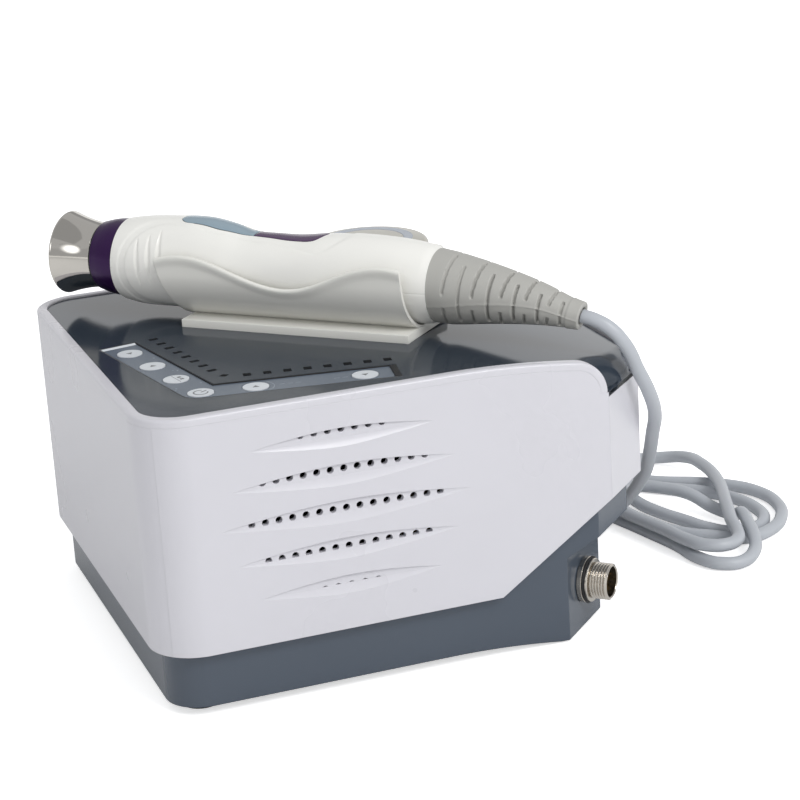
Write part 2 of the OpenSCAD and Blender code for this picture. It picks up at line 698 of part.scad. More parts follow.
module rf_board() color("darkgreen") placed() translate([board_x, rf_y, board_low]) {
    cube([board_l, rf_w, board_t]);
    translate([0.145 * board_l, 0.22 * rf_w, board_t]) cylinder(r = 8, h = 14);
    translate([0.76 * board_l, 0.18 * rf_w, board_t]) cube([16, rf_w / 2, 12]);
}
sink_l = 0.4 * board_l;
sink_w = 46;
fin_pitch = 6.2;
module heat_sink() color("silver") placed()
    translate([board_x + 0.29 * board_l, rf_y + (rf_w - sink_w) / 2, board_low + board_t]) {
        cube([sink_l, sink_w, 4]);
        for (i = [0:7]) translate([0, i * fin_pitch, 3.9]) cube([sink_l, 2.4, 22]);
    }
module transformer() color("orange") placed() translate([coil_x, body_w / 2, base_floor]) {
    difference() {
        cylinder(r = coil_r, h = 30);
        translate([0, 0, -over]) cylinder(r = 11, h = 40);
    }
    cylinder(r = 10, h = 34);
    translate([0, 0, 30]) cylinder(r = 18, h = 2);
}
fan_x = body_l - wall - fan_t;
module at_fan() placed() translate([fan_x, body_w / 2, fan_z]) rotate([0, 90, 0]) children();
module fan_frame() color("black") at_fan() difference() {
    translate([0, 0, fan_t / 2]) cube([fan_size, fan_size, fan_t], center = true);
    translate([0, 0, 2]) cylinder(r = fan_size / 2 - 1.5, h = fan_t);
    translate([0, 0, -over]) intersection() {
        cylinder(r = fan_size / 2 - 1.5, h = 4);
        union() for (a = [45, 135]) rotate([0, 0, a]) difference() {
            translate([0, 0, 2]) cube([fan_size, fan_size, 4], center = true);
            translate([0, 0, 2]) cube([fan_size + over, 5, 6], center = true);
            translate([0, 0, 2]) cube([5, fan_size + over, 6], center = true);
            translate([0, 0, -over]) cylinder(r = 12, h = 8);
        }
    }
}
module fan_rotor() color("dimgray") at_fan() {
    translate([0, 0, 2 + seat]) cylinder(r = 11, h = 11);
    for (a = [0:60:300]) rotate([0, 0, a]) translate([10, 0, 4]) rotate([30, 0, 0])
        cube([fan_size / 2 - 13, 1.5, 7]);
}

// ---- Cradle across the top, over the keypad's corner: +X towards its rear end ----

trough_z = flat_z + trough_lift;
round_z = trough_z + trough_r;
rake = 11;
module at_cradle() placed() translate([cradle_at, cradle_at, 0]) rotate([0, 0, -45]) children();
function wave_z(s) = flat_z + wave_mid - wave_amp * cos(180 * (s + 4.5) / wave_half);
module cradle() color([0.78, 0.78, 0.76]) at_cradle() difference() {
    union() {
        intersection() {
            union() {
                translate([0, 0, round_z]) rotate([0, 90, 0])
                    cylinder(r = trough_r + trough_t, h = 300, center = true);
                translate([-150, -trough_r - trough_t, round_z])
                    cube([300, 2 * (trough_r + trough_t), 40]);
            }
            rotate([90, 0, 0]) linear_extrude(4 * trough_r, center = true) polygon(concat(
                [[-trough_front + rake, flat_z], [-trough_front, round_z + 4]],
                [for (s = [-trough_front:4:trough_rear]) [s, wave_z(s)]],
                [[trough_rear, wave_z(trough_rear)], [trough_rear + 2, flat_z]]));
        }
        translate([-trough_front + rake, -trough_r - trough_t, flat_z])
            cube([trough_front - rake + trough_rear + 2, 2 * (trough_r + trough_t), plinth_h]);
    }
    translate([0, 0, round_z]) rotate([0, 90, 0]) cylinder(r = trough_r, h = 400, center = true);
    translate([-200, -trough_r, round_z]) cube([400, 2 * trough_r, 50]);
}

// ---- Handpiece, along +X from its head to its cord, 0 above the cradle's middle ----

handle_seat = 22.1;    // the axis above the handle's straight underside, over the cradle's middle
axis_z = trough_z + seat + handle_seat;
handle_tail = 74;       // the handle's rear end, behind the cradle's middle
handle_x = handle_tail - handle_l;
collar_x = handle_x - collar_l;
seal_x = collar_x - seal_l;
bell_x = seal_x - bell_l;
relief_x = handle_tail;
module at_handpiece() at_cradle() translate([0, 0, axis_z]) rotate([0, tail_dip, 0]) children();
module turned() rotate([0, 90, 0]) rotate_extrude() children();

// A surface through rings of the same number of points
module loft(rings) {
    n = len(rings[0]);
    m = len(rings);
    polyhedron(points = [for (r = rings) each r], faces = concat(
        [[for (j = [0:n - 1]) j]], [[for (j = [n - 1:-1:0]) (m - 1) * n + j]],
        [for (i = [0:m - 2], j = [0:n - 1]) [i * n + j, (i + 1) * n + j, i * n + (j + 1) % n]],
        [for (i = [0:m - 2], j = [0:n - 1])
            [(i + 1) * n + j, (i + 1) * n + (j + 1) % n, i * n + (j + 1) % n]]));
}
// Smooth curve through a table's column k, by the table's first column
function slope(t, i, k) = let (a = max(i - 1, 0), b = min(i + 1, len(t) - 1))
    (t[b][k] - t[a][k]) / (t[b][0] - t[a][0]);
function cell(t, x, i = 0) = i >= len(t) - 2 || x < t[i + 1][0] ? i : cell(t, x, i + 1);
function smooth(t, x, k) = let (i = cell(t, x), w = t[i + 1][0] - t[i][0], u = (x - t[i][0]) / w)
    t[i][k] * (1 + 2 * u) * (1 - u) * (1 - u) + w * slope(t, i, k) * u * (1 - u) * (1 - u)
    + t[i + 1][k] * u * u * (3 - 2 * u) + w * slope(t, i + 1, k) * u * u * (u - 1);

// Handle: distance from its front end, height above the axis, half width, depth below the axis
handle_form = [[0, 21.4, 21.7, 22], [1.4, 21.8, 22.3, 22.5], [11.4, 23.4, 23.4, 24],
    [28.4, 24.8, 23.5, 24], [48.4, 25.3, 23.5, 23.5], [62.4, 23.1, 22.8, 23.2],
    [74.4, 20, 21.8, 22.9], [89.4, 19.6, 21.2, 22.5], [103.4, 19.9, 21.2, 22.2],
    [120.4, 22, 21.4, 21.8], [138.4, 23.1, 21.4, 21.4], [161.4, 22.6, 20.9, 20.8],
    [177.4, 20.7, 19.8, 20.2], [182.4, 19, 19, 19.4]];
handle_span = handle_form[len(handle_form) - 1][0];
handle_steps = 38;
arc_steps = 12;
function handle_ring(u, up, t) = let (x = u * handle_l / handle_span + handle_x,
        w = smooth(handle_form, u, 2), h = up > 0 ? smooth(handle_form, u, 1)
            : min(smooth(handle_form, u, 3), handle_seat - x * tan(tail_dip)))
    concat([for (j = [0:arc_steps]) let (a = 180 * j / arc_steps) [x, w * cos(a), up * h * sin(a)]],
        [for (j = [arc_steps:-1:0]) let (a = 180 * j / arc_steps)
            [x, (w - t) * cos(a), up * (h - t) * sin(a)]]);
module handle_half(up, t) loft([for (i = [0:handle_steps])
    let (r = handle_ring(handle_span * i / handle_steps, up, t))
        up > 0 ? r : [for (k = [len(r) - 1:-1:0]) r[k]]]);
pocket_w = 16;
button_x0 = handle_x + 35.4;
button_l = 42;
window_x0 = button_x0 + button_l + 1;
window_l = 42.5;
module capsule(x0, l, inset) translate([x0 + pocket_w / 2, 0, 10]) linear_extrude(30) polygon(concat(
    arc_points(0, 0, pocket_w / 2 - inset, 90, 270, 12),
    arc_points(l - pocket_w, 0, pocket_w / 2 - inset, -90, 90, 12)));
module handle_upper() color([0.87, 0.87, 0.85]) at_handpiece() difference() {
    handle_half(1, shell_t);
    capsule(button_x0, button_l, 0);
    capsule(window_x0, window_l, 0);
}
post_top = -6;
post_us = [22.4, 109.4];    // the board's two posts, by their distance from the handle's front end
module handle_lower() color([0.87, 0.87, 0.85]) at_handpiece() {
    handle_half(-1, shell_t);
    for (u = post_us) let (x = handle_x + u * handle_l / handle_span,
            low = min(smooth(handle_form, u, 3), handle_seat - x * tan(tail_dip)) - shell_t / 2)
        translate([x, 0, -low]) cylinder(r = 3, h = post_top + low, $fn = 24);
}
handle_board_t = 1.6;
handle_switch_h = 4;
button_mid = button_x0 + button_l / 2;
module handle_board() color("darkgreen") at_handpiece() {
    translate([handle_x + 15.4, -12, post_top]) cube([100, 24, handle_board_t]);
    translate([button_mid, 0, post_top + handle_board_t]) cylinder(r = 3, h = handle_switch_h, $fn = 32);
}
module handle_button() color("steelblue") at_handpiece() {
    intersection() { handle_half(1, shell_t - 0.2); capsule(button_x0, button_l, seat); }
    stem_z = post_top + handle_board_t + handle_switch_h + button_travel + 0.05;
    cap_z = smooth(handle_form, (button_mid - handle_x) * handle_span / handle_l, 1);
    translate([button_mid, 0, stem_z]) cylinder(r = 2.5, h = cap_z - stem_z - shell_t / 2, $fn = 32);
}
module handle_window() color("indigo") at_handpiece() intersection() {
    handle_half(1, shell_t - 0.4);
    capsule(window_x0, window_l, 0.1);
}

// Head: flared electrode, insulator and centre, on a mount that runs back through the collar
head_floor = 4;
mount_r = 10;
stem_bore = 3.5;
ring_out = 15;
ring_in = 10.5;
flare_steps = 9;
function flare(u, lip, neck, e) = neck + (lip - neck) * pow(1 - u, e);
module head_front(lip, neck, length) polygon(concat([[ring_out, 0], [lip - 0.8, 0]],
    [for (i = [0:flare_steps]) let (u = i / flare_steps)
        [flare(u, lip, neck, 1.6), 0.8 + (length - 0.8) * u]],
    [[mount_r - 4, length], [mount_r - 4, length - head_floor], [ring_out, length - head_floor]]));
module bell_electrode() color("silver") at_handpiece() translate([bell_x, 0, 0]) turned()
    head_front(bell_r, neck_r, bell_l);
module bell_insulator() color("beige") at_handpiece() translate([bell_x, 0, 0]) turned()
    polygon([[ring_in, 0.6], [ring_out, 0.6], [ring_out, bell_l - head_floor],
        [3, bell_l - head_floor], [3, bell_l - head_floor - 4], [ring_in, bell_l - head_floor - 4]]);
module bell_center() color("silver") at_handpiece() translate([bell_x, 0, 0]) turned()
    polygon([[0, -0.6], [5, -0.4], [9, 0.3], [ring_in, 1.2], [ring_in, 4], [3, 4],
        [3, bell_l - head_floor + 2], [0, bell_l - head_floor + 2]]);
module head_mount() color("gray") at_handpiece() translate([seal_x, 0, 0]) turned()
    polygon([[stem_bore, -head_floor], [mount_r - 4, -head_floor], [mount_r - 4, 0], [mount_r, 0],
        [mount_r, seal_l + collar_l + 12], [stem_bore, seal_l + collar_l + 12]]);
module seal_ring() color("black") at_handpiece() translate([seal_x, 0, 0]) turned()
    polygon([[mount_r, 0], [neck_r, 0], [neck_r + 0.9, 0.8], [neck_r + 1.4, seal_l], [mount_r, seal_l]]);
module collar() color("indigo") at_handpiece() translate([collar_x, 0, 0]) turned()
    polygon([[mount_r, 0], [neck_r + 1.4, 0], [neck_r + 2.2, 3], [neck_r + 3, 7], [neck_r + 3.6, collar_l],
        [mount_r, collar_l]]);

// Strain relief: distance from the handle, middle below the axis, radius, tilt of its section
relief_form = [[0, 0, 18.9, 0], [10, 1, 18.3, 2], [32, 2.5, 14.8, 5], [54, 5, 10.9, 8], [72, 8.6, 7.4, 11],
    [77, 9.4, 6.8, 12]];
relief_span = relief_form[len(relief_form) - 1][0];
relief_steps = 15;
relief_sides = 32;
function relief_ring(u, t) = let (x = relief_x + u * relief_l / relief_span,
        r = smooth(relief_form, u, 2) - t,
        z = -smooth(relief_form, u, 1), tilt = smooth(relief_form, u, 3))
    [for (j = [0:relief_sides - 1]) let (a = 360 * j / relief_sides)
        [x + r * sin(a) * sin(tilt), r * cos(a), z + r * sin(a) * cos(tilt)]];
module strain_relief() color([0.65, 0.65, 0.63]) at_handpiece() difference() {
    loft([for (i = [0:relief_steps]) relief_ring(relief_span * i / relief_steps, 0)]);
    loft([for (i = [0:8]) relief_ring(-0.5 + 50.5 * i / 8, 3)]);
    for (i = [0:4]) {
        u = 16 + 11 * i;
        z = -smooth(relief_form, u, 1);
        r = smooth(relief_form, u, 2);
        translate([relief_x + u, 0, z + 0.25 * r + 20]) cube([1.6, 80, 40], center = true);
        translate([relief_x + u + 5.5, 0, z - 0.1 * r]) cube([1.4, 80, 0.5 * r], center = true);
    }
}

// ---- Spare treatment head, face up in a stand beside the cradle ----

spare_at = [spare_along, spare_off];
spare_z = flat_z + spare_h;
spare_ring_in = 19.9;
spare_ring_out = 25;
stand_h = 10;
stem_end = flat_z + seat;
module at_spare() at_cradle() translate([spare_at[0], spare_at[1], 0]) children();
module head_stand() color("whitesmoke") at_spare() difference() {
    translate([0, 0, flat_z]) cylinder(r = stem_r + 6, h = stand_h);
    translate([0, 0, flat_z - over]) cylinder(r = stem_r + seat, h = stand_h + 2 * over);
}
module spare_housing() color([0.8, 0.78, 0.74]) at_spare() rotate_extrude() polygon(concat(
    [[0, stem_end], [stem_r, stem_end], [stem_r, flat_z + stand_h + 3], [spare_r - 12, spare_z - 14],
     [spare_r - 3, spare_z - 8]],
    arc_points(spare_r - 3.6, spare_z - 4.6, 3.6, -50, 80, 8),
    [[spare_ring_out, spare_z], [spare_ring_out, spare_z - 2], [0, spare_z - 2]]));
module spare_ring() color("lightsteelblue") at_spare() translate([0, 0, spare_z - 2]) difference() {
    cylinder(r = spare_ring_out, h = 2);
    translate([0, 0, -over]) cylinder(r = spare_ring_in, h = 2 + 2 * over);
}
module spare_center() color([0.8, 0.78, 0.74]) at_spare() translate([0, 0, spare_z - 2]) rotate_extrude()
    polygon([[0, 0], [spare_ring_in, 0], [spare_ring_in, 2], [spare_ring_in - 8, 2.3], [0, 2.5]]);

// ---- Handpiece's cord: down behind the console, round in loops on the table, to the plug ----

cord_sides = 8;
exit_tilt = relief_form[len(relief_form) - 1][3] + tail_dip;
exit_x = relief_x + relief_l;
exit_z = -relief_form[len(relief_form) - 1][1];
exit_out = exit_x * cos(tail_dip) + exit_z * sin(tail_dip);
cord_start = [cradle_at - body_l / 2 + exit_out * cos(45), cradle_at - body_w / 2 - exit_out * sin(45),
    axis_z - exit_x * sin(tail_dip) + exit_z * cos(tail_dip)];
cord_end = [port_x - body_l / 2 + plug_end * cos(45), body_w / 2 - port_y + plug_end * sin(45), port_z];
start_way = [cos(exit_tilt) * cos(45), -cos(exit_tilt) * sin(45), -sin(exit_tilt)];
end_way = [-cos(45), -sin(45), 0];
laid = [
    [104, -109.5, 165], [110, -114, 161], [117, -116.5, 152], [125, -113, 137], [133, -108, 123],
    [141, -98, 107], [146, -84, 91], [152, -67, 74], [158, -47, 55], [160, -4, 20], [158, 17, 9],
    [156, 38, 4], [155, 58, 4], [161, 80, 4], [174, 96, 4], [219, 104, 4], [237, 97, 5], [245, 80, 9],
    [244, 57, 12], [240, 32, 13], [221, -20, 15], [214, -39, 14], [211, -51, 13], [206, -61, 12],
    [197, -65, 12], [188, -61, 12], [182, -49, 12], [178, -29, 12], [169, 14, 12], [169, 29, 12],
    [179, 40, 12], [193, 42, 12], [206, 31, 12], [216, 17, 11], [224, 3, 6], [229, -12, 6],
    [227, -26, 12], [223, -41, 12], [219, -56, 9], [213, -67, 6], [203, -73, 4], [192, -71, 4],
    [185, -60, 4], [182, -34, 4], [176, -5, 4], [167, 42, 4], [169, 63, 4], [181, 79, 4], [199, 78, 4],
    [217, 62, 4], [251, 36, 4], [261, 17, 4], [261, -5, 4], [253, -24, 4], [239, -38, 4], [221, -43, 4],
    [205, -32, 4], [192, -18, 4], [184, 3, 4], [179, 26, 4], [178, 46, 4], [180, 59, 4], [187, 67, 4],
    [198, 67, 4], [208, 58, 4], [218, 48, 4], [232, 35, 4], [243, 17, 4], [247, -6, 4], [243, -22, 4],
    [232, -32, 4], [219, -32, 4], [209, -20, 4], [203, -4, 4], [196, 15, 4], [192, 37, 4], [192, 47, 5],
    [192, 57, 9], [192, 67, 12], [191, 108, 12], [190, 128, 6], [187, 148, 6], [172, 162, 12],
    [151, 158, 21], [139, 147, 26]];
route = concat([cord_start], laid, [cord_end]);
function unit(v) = v / norm(v);
function way(i) = i == 0 ? start_way : i == len(route) - 1 ? end_way : unit(route[i + 1] - route[i - 1]);
function turn(n, t) = unit(n - (n * t) * t);
cord_normals = [for (i = 0, n = turn([0, 0, 1], start_way); i < len(route);
    i = i + 1, n = i < len(route) ? turn(n, way(i)) : n) n];
function cord_ring(i) = let (n = cord_normals[i], b = cross(way(i), n))
    [for (j = [0:cord_sides - 1]) let (a = 360 * (j + 0.5) / cord_sides)
        route[i] + cord_d / 2 * (cos(a) * n + sin(a) * b)];
module handpiece_cord() color([0.67, 0.69, 0.71]) loft([for (i = [0:len(route) - 1]) cord_ring(i)]);

// ---- Nodes ----

base_tray();
front_panel();
side_panel_near();
side_panel_far();
rear_panel();
top_bezel();
top_panel();
keypad_overlay();
key_power();
key_mode();
key_time_up();
key_time_down();
key_level_down();
key_level_up();
light_windows();
indicator_lights();
display_board();
cradle();
head_stand();
front_feet();
rear_pads();
foot_screws();
port_barrel();
port_insert();
port_pins();
port_gasket();
port_nut();
socket_barrel();
socket_insert();
socket_gasket();
socket_nut();
mains_inlet();
switch_frame();
power_rocker();
fuse_holder();
fuse_cap();
main_board();
rf_board();
heat_sink();
transformer();
fan_frame();
fan_rotor();
handle_upper();
handle_lower();
bell_electrode();
bell_insulator();
bell_center();
head_mount();
seal_ring();
collar();
handle_button();
handle_window();
handle_board();
strain_relief();
spare_housing();
spare_ring();
spare_center();
handpiece_cord();
plug_body();
plug_nut();
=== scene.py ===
"""Looks of a tabletop facial toning device: console, handpiece in its cradle, spare head and cord.

Sizes are in millimetres, in the console's own frame with its corner at the virtual front near corner,
until a piece is built: then they become metres about the middle of the footprint.
"""
import logging
import math
from dataclasses import dataclass
from enum import Enum
from typing import Callable, Iterable, Sequence

import bmesh
import bpy
from mathutils import Matrix, Vector
from mathutils.geometry import delaunay_2d_cdt


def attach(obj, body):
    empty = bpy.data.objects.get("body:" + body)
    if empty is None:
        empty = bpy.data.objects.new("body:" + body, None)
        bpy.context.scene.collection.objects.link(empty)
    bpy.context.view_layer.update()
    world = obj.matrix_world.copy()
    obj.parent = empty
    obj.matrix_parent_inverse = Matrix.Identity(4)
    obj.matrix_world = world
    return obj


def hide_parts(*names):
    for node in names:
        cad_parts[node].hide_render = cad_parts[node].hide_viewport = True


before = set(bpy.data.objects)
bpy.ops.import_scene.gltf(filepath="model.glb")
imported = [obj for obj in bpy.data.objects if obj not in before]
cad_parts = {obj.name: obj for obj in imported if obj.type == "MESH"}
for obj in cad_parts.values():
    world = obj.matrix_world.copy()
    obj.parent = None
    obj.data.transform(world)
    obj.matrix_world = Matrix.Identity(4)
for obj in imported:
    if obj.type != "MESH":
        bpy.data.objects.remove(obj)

LOG = logging.getLogger("toning_device")
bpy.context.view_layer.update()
MM = 0.001
SAME_POINT = 2e-7
ROOT = "console"
HAND = "handpiece"
SPARE = "spare_head"
TONE_SPREAD = 0.035
GLOSS_SPREAD = 0.12
Colour = tuple[float, float, float]
Flat = tuple[float, float]
Ring = list[Vector]


# ---------------- small maths

def srgb(red: int, green: int, blue: int) -> Colour:
    """Turns a colour of three bytes into linear light.

    Args:
        red: red byte.
        green: green byte.
        blue: blue byte.

    Returns:
        The linear colour.
    """
    def one(byte: int) -> float:
        """Linear value of one byte."""
        value = byte / 255
        return value / 12.92 if value <= 0.04045 else ((value + 0.055) / 1.055) ** 2.4
    return one(red), one(green), one(blue)


def ease(value: float) -> float:
    """Smooth step from 0 to 1."""
    clipped = min(max(value, 0.0), 1.0)
    return clipped * clipped * (3 - 2 * clipped)


def mix(first: float, second: float, share: float) -> float:
    """Value between two others."""
    return first + (second - first) * share


def steps(start: float, end: float, count: int) -> list[float]:
    """Evenly spaced values, both ends among them."""
    return [mix(start, end, i / count) for i in range(count + 1)]


def through(table: Sequence[Sequence[float]], x: float, column: int) -> float:
    """Smooth curve through one column of a table, by its first column.

    Args:
        table: rows in the order of their first column.
        x: where to read the curve.
        column: which column to follow.

    Returns:
        The curve's value.
    """
    last = len(table) - 1
    i = 0
    while i < last - 1 and x >= table[i + 1][0]:
        i += 1

    def slope(k: int) -> float:
        """Slope at row k."""
        low, high = table[max(k - 1, 0)], table[min(k + 1, last)]
        return (high[column] - low[column]) / (high[0] - low[0])
    left, right = table[i], table[i + 1]
    width = right[0] - left[0]
    u = min(max((x - left[0]) / width, 0.0), 1.0)
    return (left[column] * (1 + 2 * u) * (1 - u) ** 2 + width * slope(i) * u * (1 - u) ** 2
            + right[column] * u * u * (3 - 2 * u) + width * slope(i + 1) * u * u * (u - 1))


def arc(centre: Flat, radius: float, start: float, end: float, count: int) -> list[Flat]:
    """Points on an arc, by angles in degrees."""
    return [(centre[0] + radius * math.cos(math.radians(a)), centre[1] + radius * math.sin(math.radians(a)))
            for a in steps(start, end, count)]


def inside(outline: Sequence[Flat], x: float, y: float) -> bool:
    """Whether a flat point lies inside a closed outline.

    Args:
        outline: the outline's points in order.
        x: first coordinate of the point.
        y: second coordinate of the point.

    Returns:
        Whether it lies inside.
    """
    found = False
    px, py = outline[-1]
    for qx, qy in outline:
        if (qy > y) != (py > y) and x < (px - qx) * (y - qy) / (py - qy) + qx:
            found = not found
        px, py = qx, qy
    return found


def near_loop(loop: Sequence[Flat], x: float, y: float, reach: float = 0.01) -> bool:
    """Whether a flat point lies on a closed loop or close to it.

    Args:
        loop: the loop's points in order.
        x: first coordinate of the point.
        y: second coordinate of the point.
        reach: how close counts.

    Returns:
        Whether it lies within reach.
    """
    px, py = loop[-1]
    for qx, qy in loop:
        run, climb = qx - px, qy - py
        share = min(max(((x - px) * run + (y - py) * climb) / (run * run + climb * climb), 0.0), 1.0)
        if math.hypot(px + run * share - x, py + climb * share - y) < reach:
            return True
        px, py = qx, qy
    return False


def offset_loop(loop: Sequence[Flat], inward: float) -> list[Flat]:
    """Moves a closed loop inward by a small distance, whichever way round it runs.

    Args:
        loop: the loop's points in order.
        inward: how far it moves, negative for outward.

    Returns:
        The moved loop.
    """
    sharpest = 0.3
    area = sum(a[0] * b[1] - b[0] * a[1] for a, b in zip(loop, [*loop[1:], loop[0]]))
    sign = 1 if area > 0 else -1
    moved = []
    for i, p in enumerate(loop):
        before, after = Vector(loop[i - 1]), Vector(loop[(i + 1) % len(loop)])
        here = Vector(p)
        first, second = (here - before).normalized(), (after - here).normalized()
        normal = Vector((-(first.y + second.y), first.x + second.x)).normalized() * sign
        share = max(normal.dot(Vector((-first.y, first.x)) * sign), sharpest)
        moved.append(tuple(here + normal * inward / share))
    return moved


def tidy_loop(loop: Sequence[Flat], closest: float = 0.05) -> list[Flat]:
    """Drops points of a closed loop that nearly coincide with the one before.

    Args:
        loop: the loop's points in order.
        closest: the shortest distance that stays.

    Returns:
        The points that stay.
    """
    kept: list[Flat] = []
    for p in loop:
        if not kept or math.dist(p, kept[-1]) > closest:
            kept.append(p)
    if math.dist(kept[0], kept[-1]) < closest:
        kept.pop()
    return kept


def block(left: float, right: float, low: float, high: float) -> list[Flat]:
    """Corners of an upright rectangle."""
    return [(left, low), (right, low), (right, high), (left, high)]


def spot_at(place: Flat, angle: float) -> Matrix:
    """Placing on a flat spot, turned by an angle in degrees."""
    return Matrix.Translation((*place, 0)) @ Matrix.Rotation(math.radians(angle), 4, "Z")


# ---------------- shader groups

class NodeTree:
    """Short way to write a shader tree."""

    def __init__(self, tree: bpy.types.NodeTree) -> None:
        """Keeps the tree."""
        self.tree = tree

    def add(self, kind: str, **sockets: object) -> bpy.types.Node:
        """Adds a node and sets or links its inputs.

        Args:
            kind: the node's type name without its ShaderNode prefix.
            sockets: inputs by name, with _ for a space, or attributes of the node in lower case.

        Returns:
            The node.
        """
        node = self.tree.nodes.new(f"ShaderNode{kind}")
        for name, value in sockets.items():
            if name[0].islower():
                setattr(node, name, value)
        for name, value in sockets.items():
            if name[0].islower():
                continue
            socket = node.inputs[name.replace("_", " ")]
            if isinstance(value, bpy.types.NodeSocket):
                self.tree.links.new(value, socket)
            else:
                socket.default_value = value
        return node

    def link(self, source: bpy.types.NodeSocket, target: bpy.types.NodeSocket) -> None:
        """Links two sockets."""
        self.tree.links.new(source, target)

    def colours(self, share: bpy.types.NodeSocket, first: bpy.types.NodeSocket,
                second: bpy.types.NodeSocket) -> bpy.types.NodeSocket:
        """Adds a mix of two colours.

        Args:
            share: how much of the second colour shows.
            first: the first colour.
            second: the second colour.

        Returns:
            The mixed colour.
        """
        node = self.add("Mix", data_type="RGBA")
        for number, source in ((0, share), (6, first), (7, second)):
            self.link(source, node.inputs[number])
        return node.outputs[2]

    def group(self, tree: bpy.types.NodeTree, values: dict[str, object]) -> bpy.types.Node:
        """Places a shader group and sets its inputs.

        Args:
            tree: the group.
            values: what its inputs are set to, by name.

        Returns:
            The placed group.
        """
        node = self.tree.nodes.new("ShaderNodeGroup")
        node.node_tree = tree
        for label, value in values.items():
            node.inputs[label].default_value = value
        return node


def blank_net(owner: bpy.types.Material | bpy.types.World) -> NodeTree:
    """Turns on the shader tree of a material or world and empties it.

    Args:
        owner: the material or world.

    Returns:
        Its tree.
    """
    owner.use_nodes = True
    owner.node_tree.nodes.clear()
    return NodeTree(owner.node_tree)


def new_group(name: str, inputs: Sequence[tuple[str, str]], outputs: Sequence[tuple[str, str]]) -> NodeTree:
    """Makes an empty shader group with its sockets.

    Args:
        name: the group's name.
        inputs: names and socket kinds.
        outputs: names and socket kinds.

    Returns:
        The group's tree.
    """
    group = bpy.data.node_groups.new(name, "ShaderNodeTree")
    for way, sockets in (("INPUT", inputs), ("OUTPUT", outputs)):
        for label, kind in sockets:
            group.interface.new_socket(name=label, in_out=way, socket_type=f"NodeSocket{kind}")
    return NodeTree(group)


def moulded_skin() -> bpy.types.NodeTree:
    """Group for moulded and turned surfaces: slow change of tone and gloss, fine grain, softened edges.

    Returns:
        The group, built once.
    """
    ready = bpy.data.node_groups.get("moulded_skin")
    if ready:
        return ready
    net = new_group("moulded_skin",
                    [("Dark", "Color"), ("Light", "Color"), ("Rough Low", "Float"), ("Rough High", "Float"),
                     ("Grain Scale", "Float"), ("Grain Depth", "Float"), ("Edge", "Float")],
                    [("Colour", "Color"), ("Roughness", "Float"), ("Normal", "Vector")])
    given = net.tree.nodes.new("NodeGroupInput").outputs
    place = net.add("TexCoord").outputs["Object"]
    slow = net.add("TexNoise", Vector=place, Scale=14.0, Detail=3.0, Roughness=0.55).outputs[0]
    fine = net.add("TexNoise", Vector=place, Scale=given["Grain Scale"], Detail=2.0, Roughness=0.6).outputs[0]
    soft = net.add("Bevel", samples=6, Radius=given["Edge"]).outputs["Normal"]
    gloss = net.add("MapRange", Value=slow, To_Min=given["Rough Low"], To_Max=given["Rough High"])
    bump = net.add("Bump", Strength=1.0, Distance=given["Grain Depth"], Height=fine, Normal=soft)
    out = net.tree.nodes.new("NodeGroupOutput").inputs
    net.link(net.colours(slow, given["Dark"], given["Light"]), out["Colour"])
    net.link(gloss.outputs["Result"], out["Roughness"])
    net.link(bump.outputs["Normal"], out["Normal"])
    return net.tree


def board_tracks() -> bpy.types.NodeTree:
    """Group for circuit boards: lacquered green with paler copper tracks.

    Returns:
        The group, built once.
    """
    ready = bpy.data.node_groups.get("board_tracks")
    if ready:
        return ready
    net = new_group("board_tracks", [("Lacquer", "Color"), ("Track", "Color"), ("Scale", "Float")],
                    [("Colour", "Color")])
    given = net.tree.nodes.new("NodeGroupInput").outputs
    place = net.add("TexCoord").outputs["Object"]
    cells = net.add("TexVoronoi", distance="CHEBYCHEV", feature="DISTANCE_TO_EDGE", Vector=place,
                    Scale=given["Scale"]).outputs["Distance"]
    mask = net.add("MapRange", Value=cells, From_Min=0.03, From_Max=0.06, To_Min=1.0, To_Max=0.0)
    out = net.tree.nodes.new("NodeGroupOutput").inputs
    net.link(net.colours(mask.outputs["Result"], given["Lacquer"], given["Track"]), out["Colour"])
    return net.tree


class Surface(Enum):
    """What covers a finish, which decides the groups in its material."""

    MOULDED = "moulded"
    BOARD = "board"


@dataclass(frozen=True)
class Finish:
    """One finish of the device, named after the record's material slot."""

    name: str
    dark: Colour
    light: Colour
    rough: Flat
    grain: float = 900.0
    depth: float = 0.00002
    edge: float = 0.0005
    coat: float = 0.0
    coat_rough: float = 0.05
    metallic: float = 0.0
    index: float = 1.5
    surface: Surface = Surface.MOULDED
    track_scale: float = 160.0

    def material(self) -> bpy.types.Material:
        """Builds the finish's material.

        Returns:
            The material, built once.
        """
        ready = bpy.data.materials.get(f"finish_{self.name}")
        if ready:
            return ready
        made = bpy.data.materials.new(f"finish_{self.name}")
        net = blank_net(made)
        dark, light = (*self.dark, 1.0), (*self.light, 1.0)
        skin = net.group(moulded_skin(), {
            "Dark": dark, "Light": light, "Rough Low": self.rough[0], "Rough High": self.rough[1],
            "Grain Scale": self.grain, "Grain Depth": self.depth, "Edge": self.edge}).outputs
        colour = skin["Colour"]
        if self.surface is Surface.BOARD:
            values = {"Lacquer": dark, "Track": light, "Scale": self.track_scale}
            colour = net.group(board_tracks(), values).outputs["Colour"]
        shader = net.add("BsdfPrincipled", Base_Color=colour, Roughness=skin["Roughness"],
                         Normal=skin["Normal"], Metallic=self.metallic, Coat_Weight=self.coat,
                         Coat_Roughness=self.coat_rough, IOR=self.index)
        net.add("OutputMaterial", Surface=shader.outputs[0])
        made.diffuse_color = light
        return made


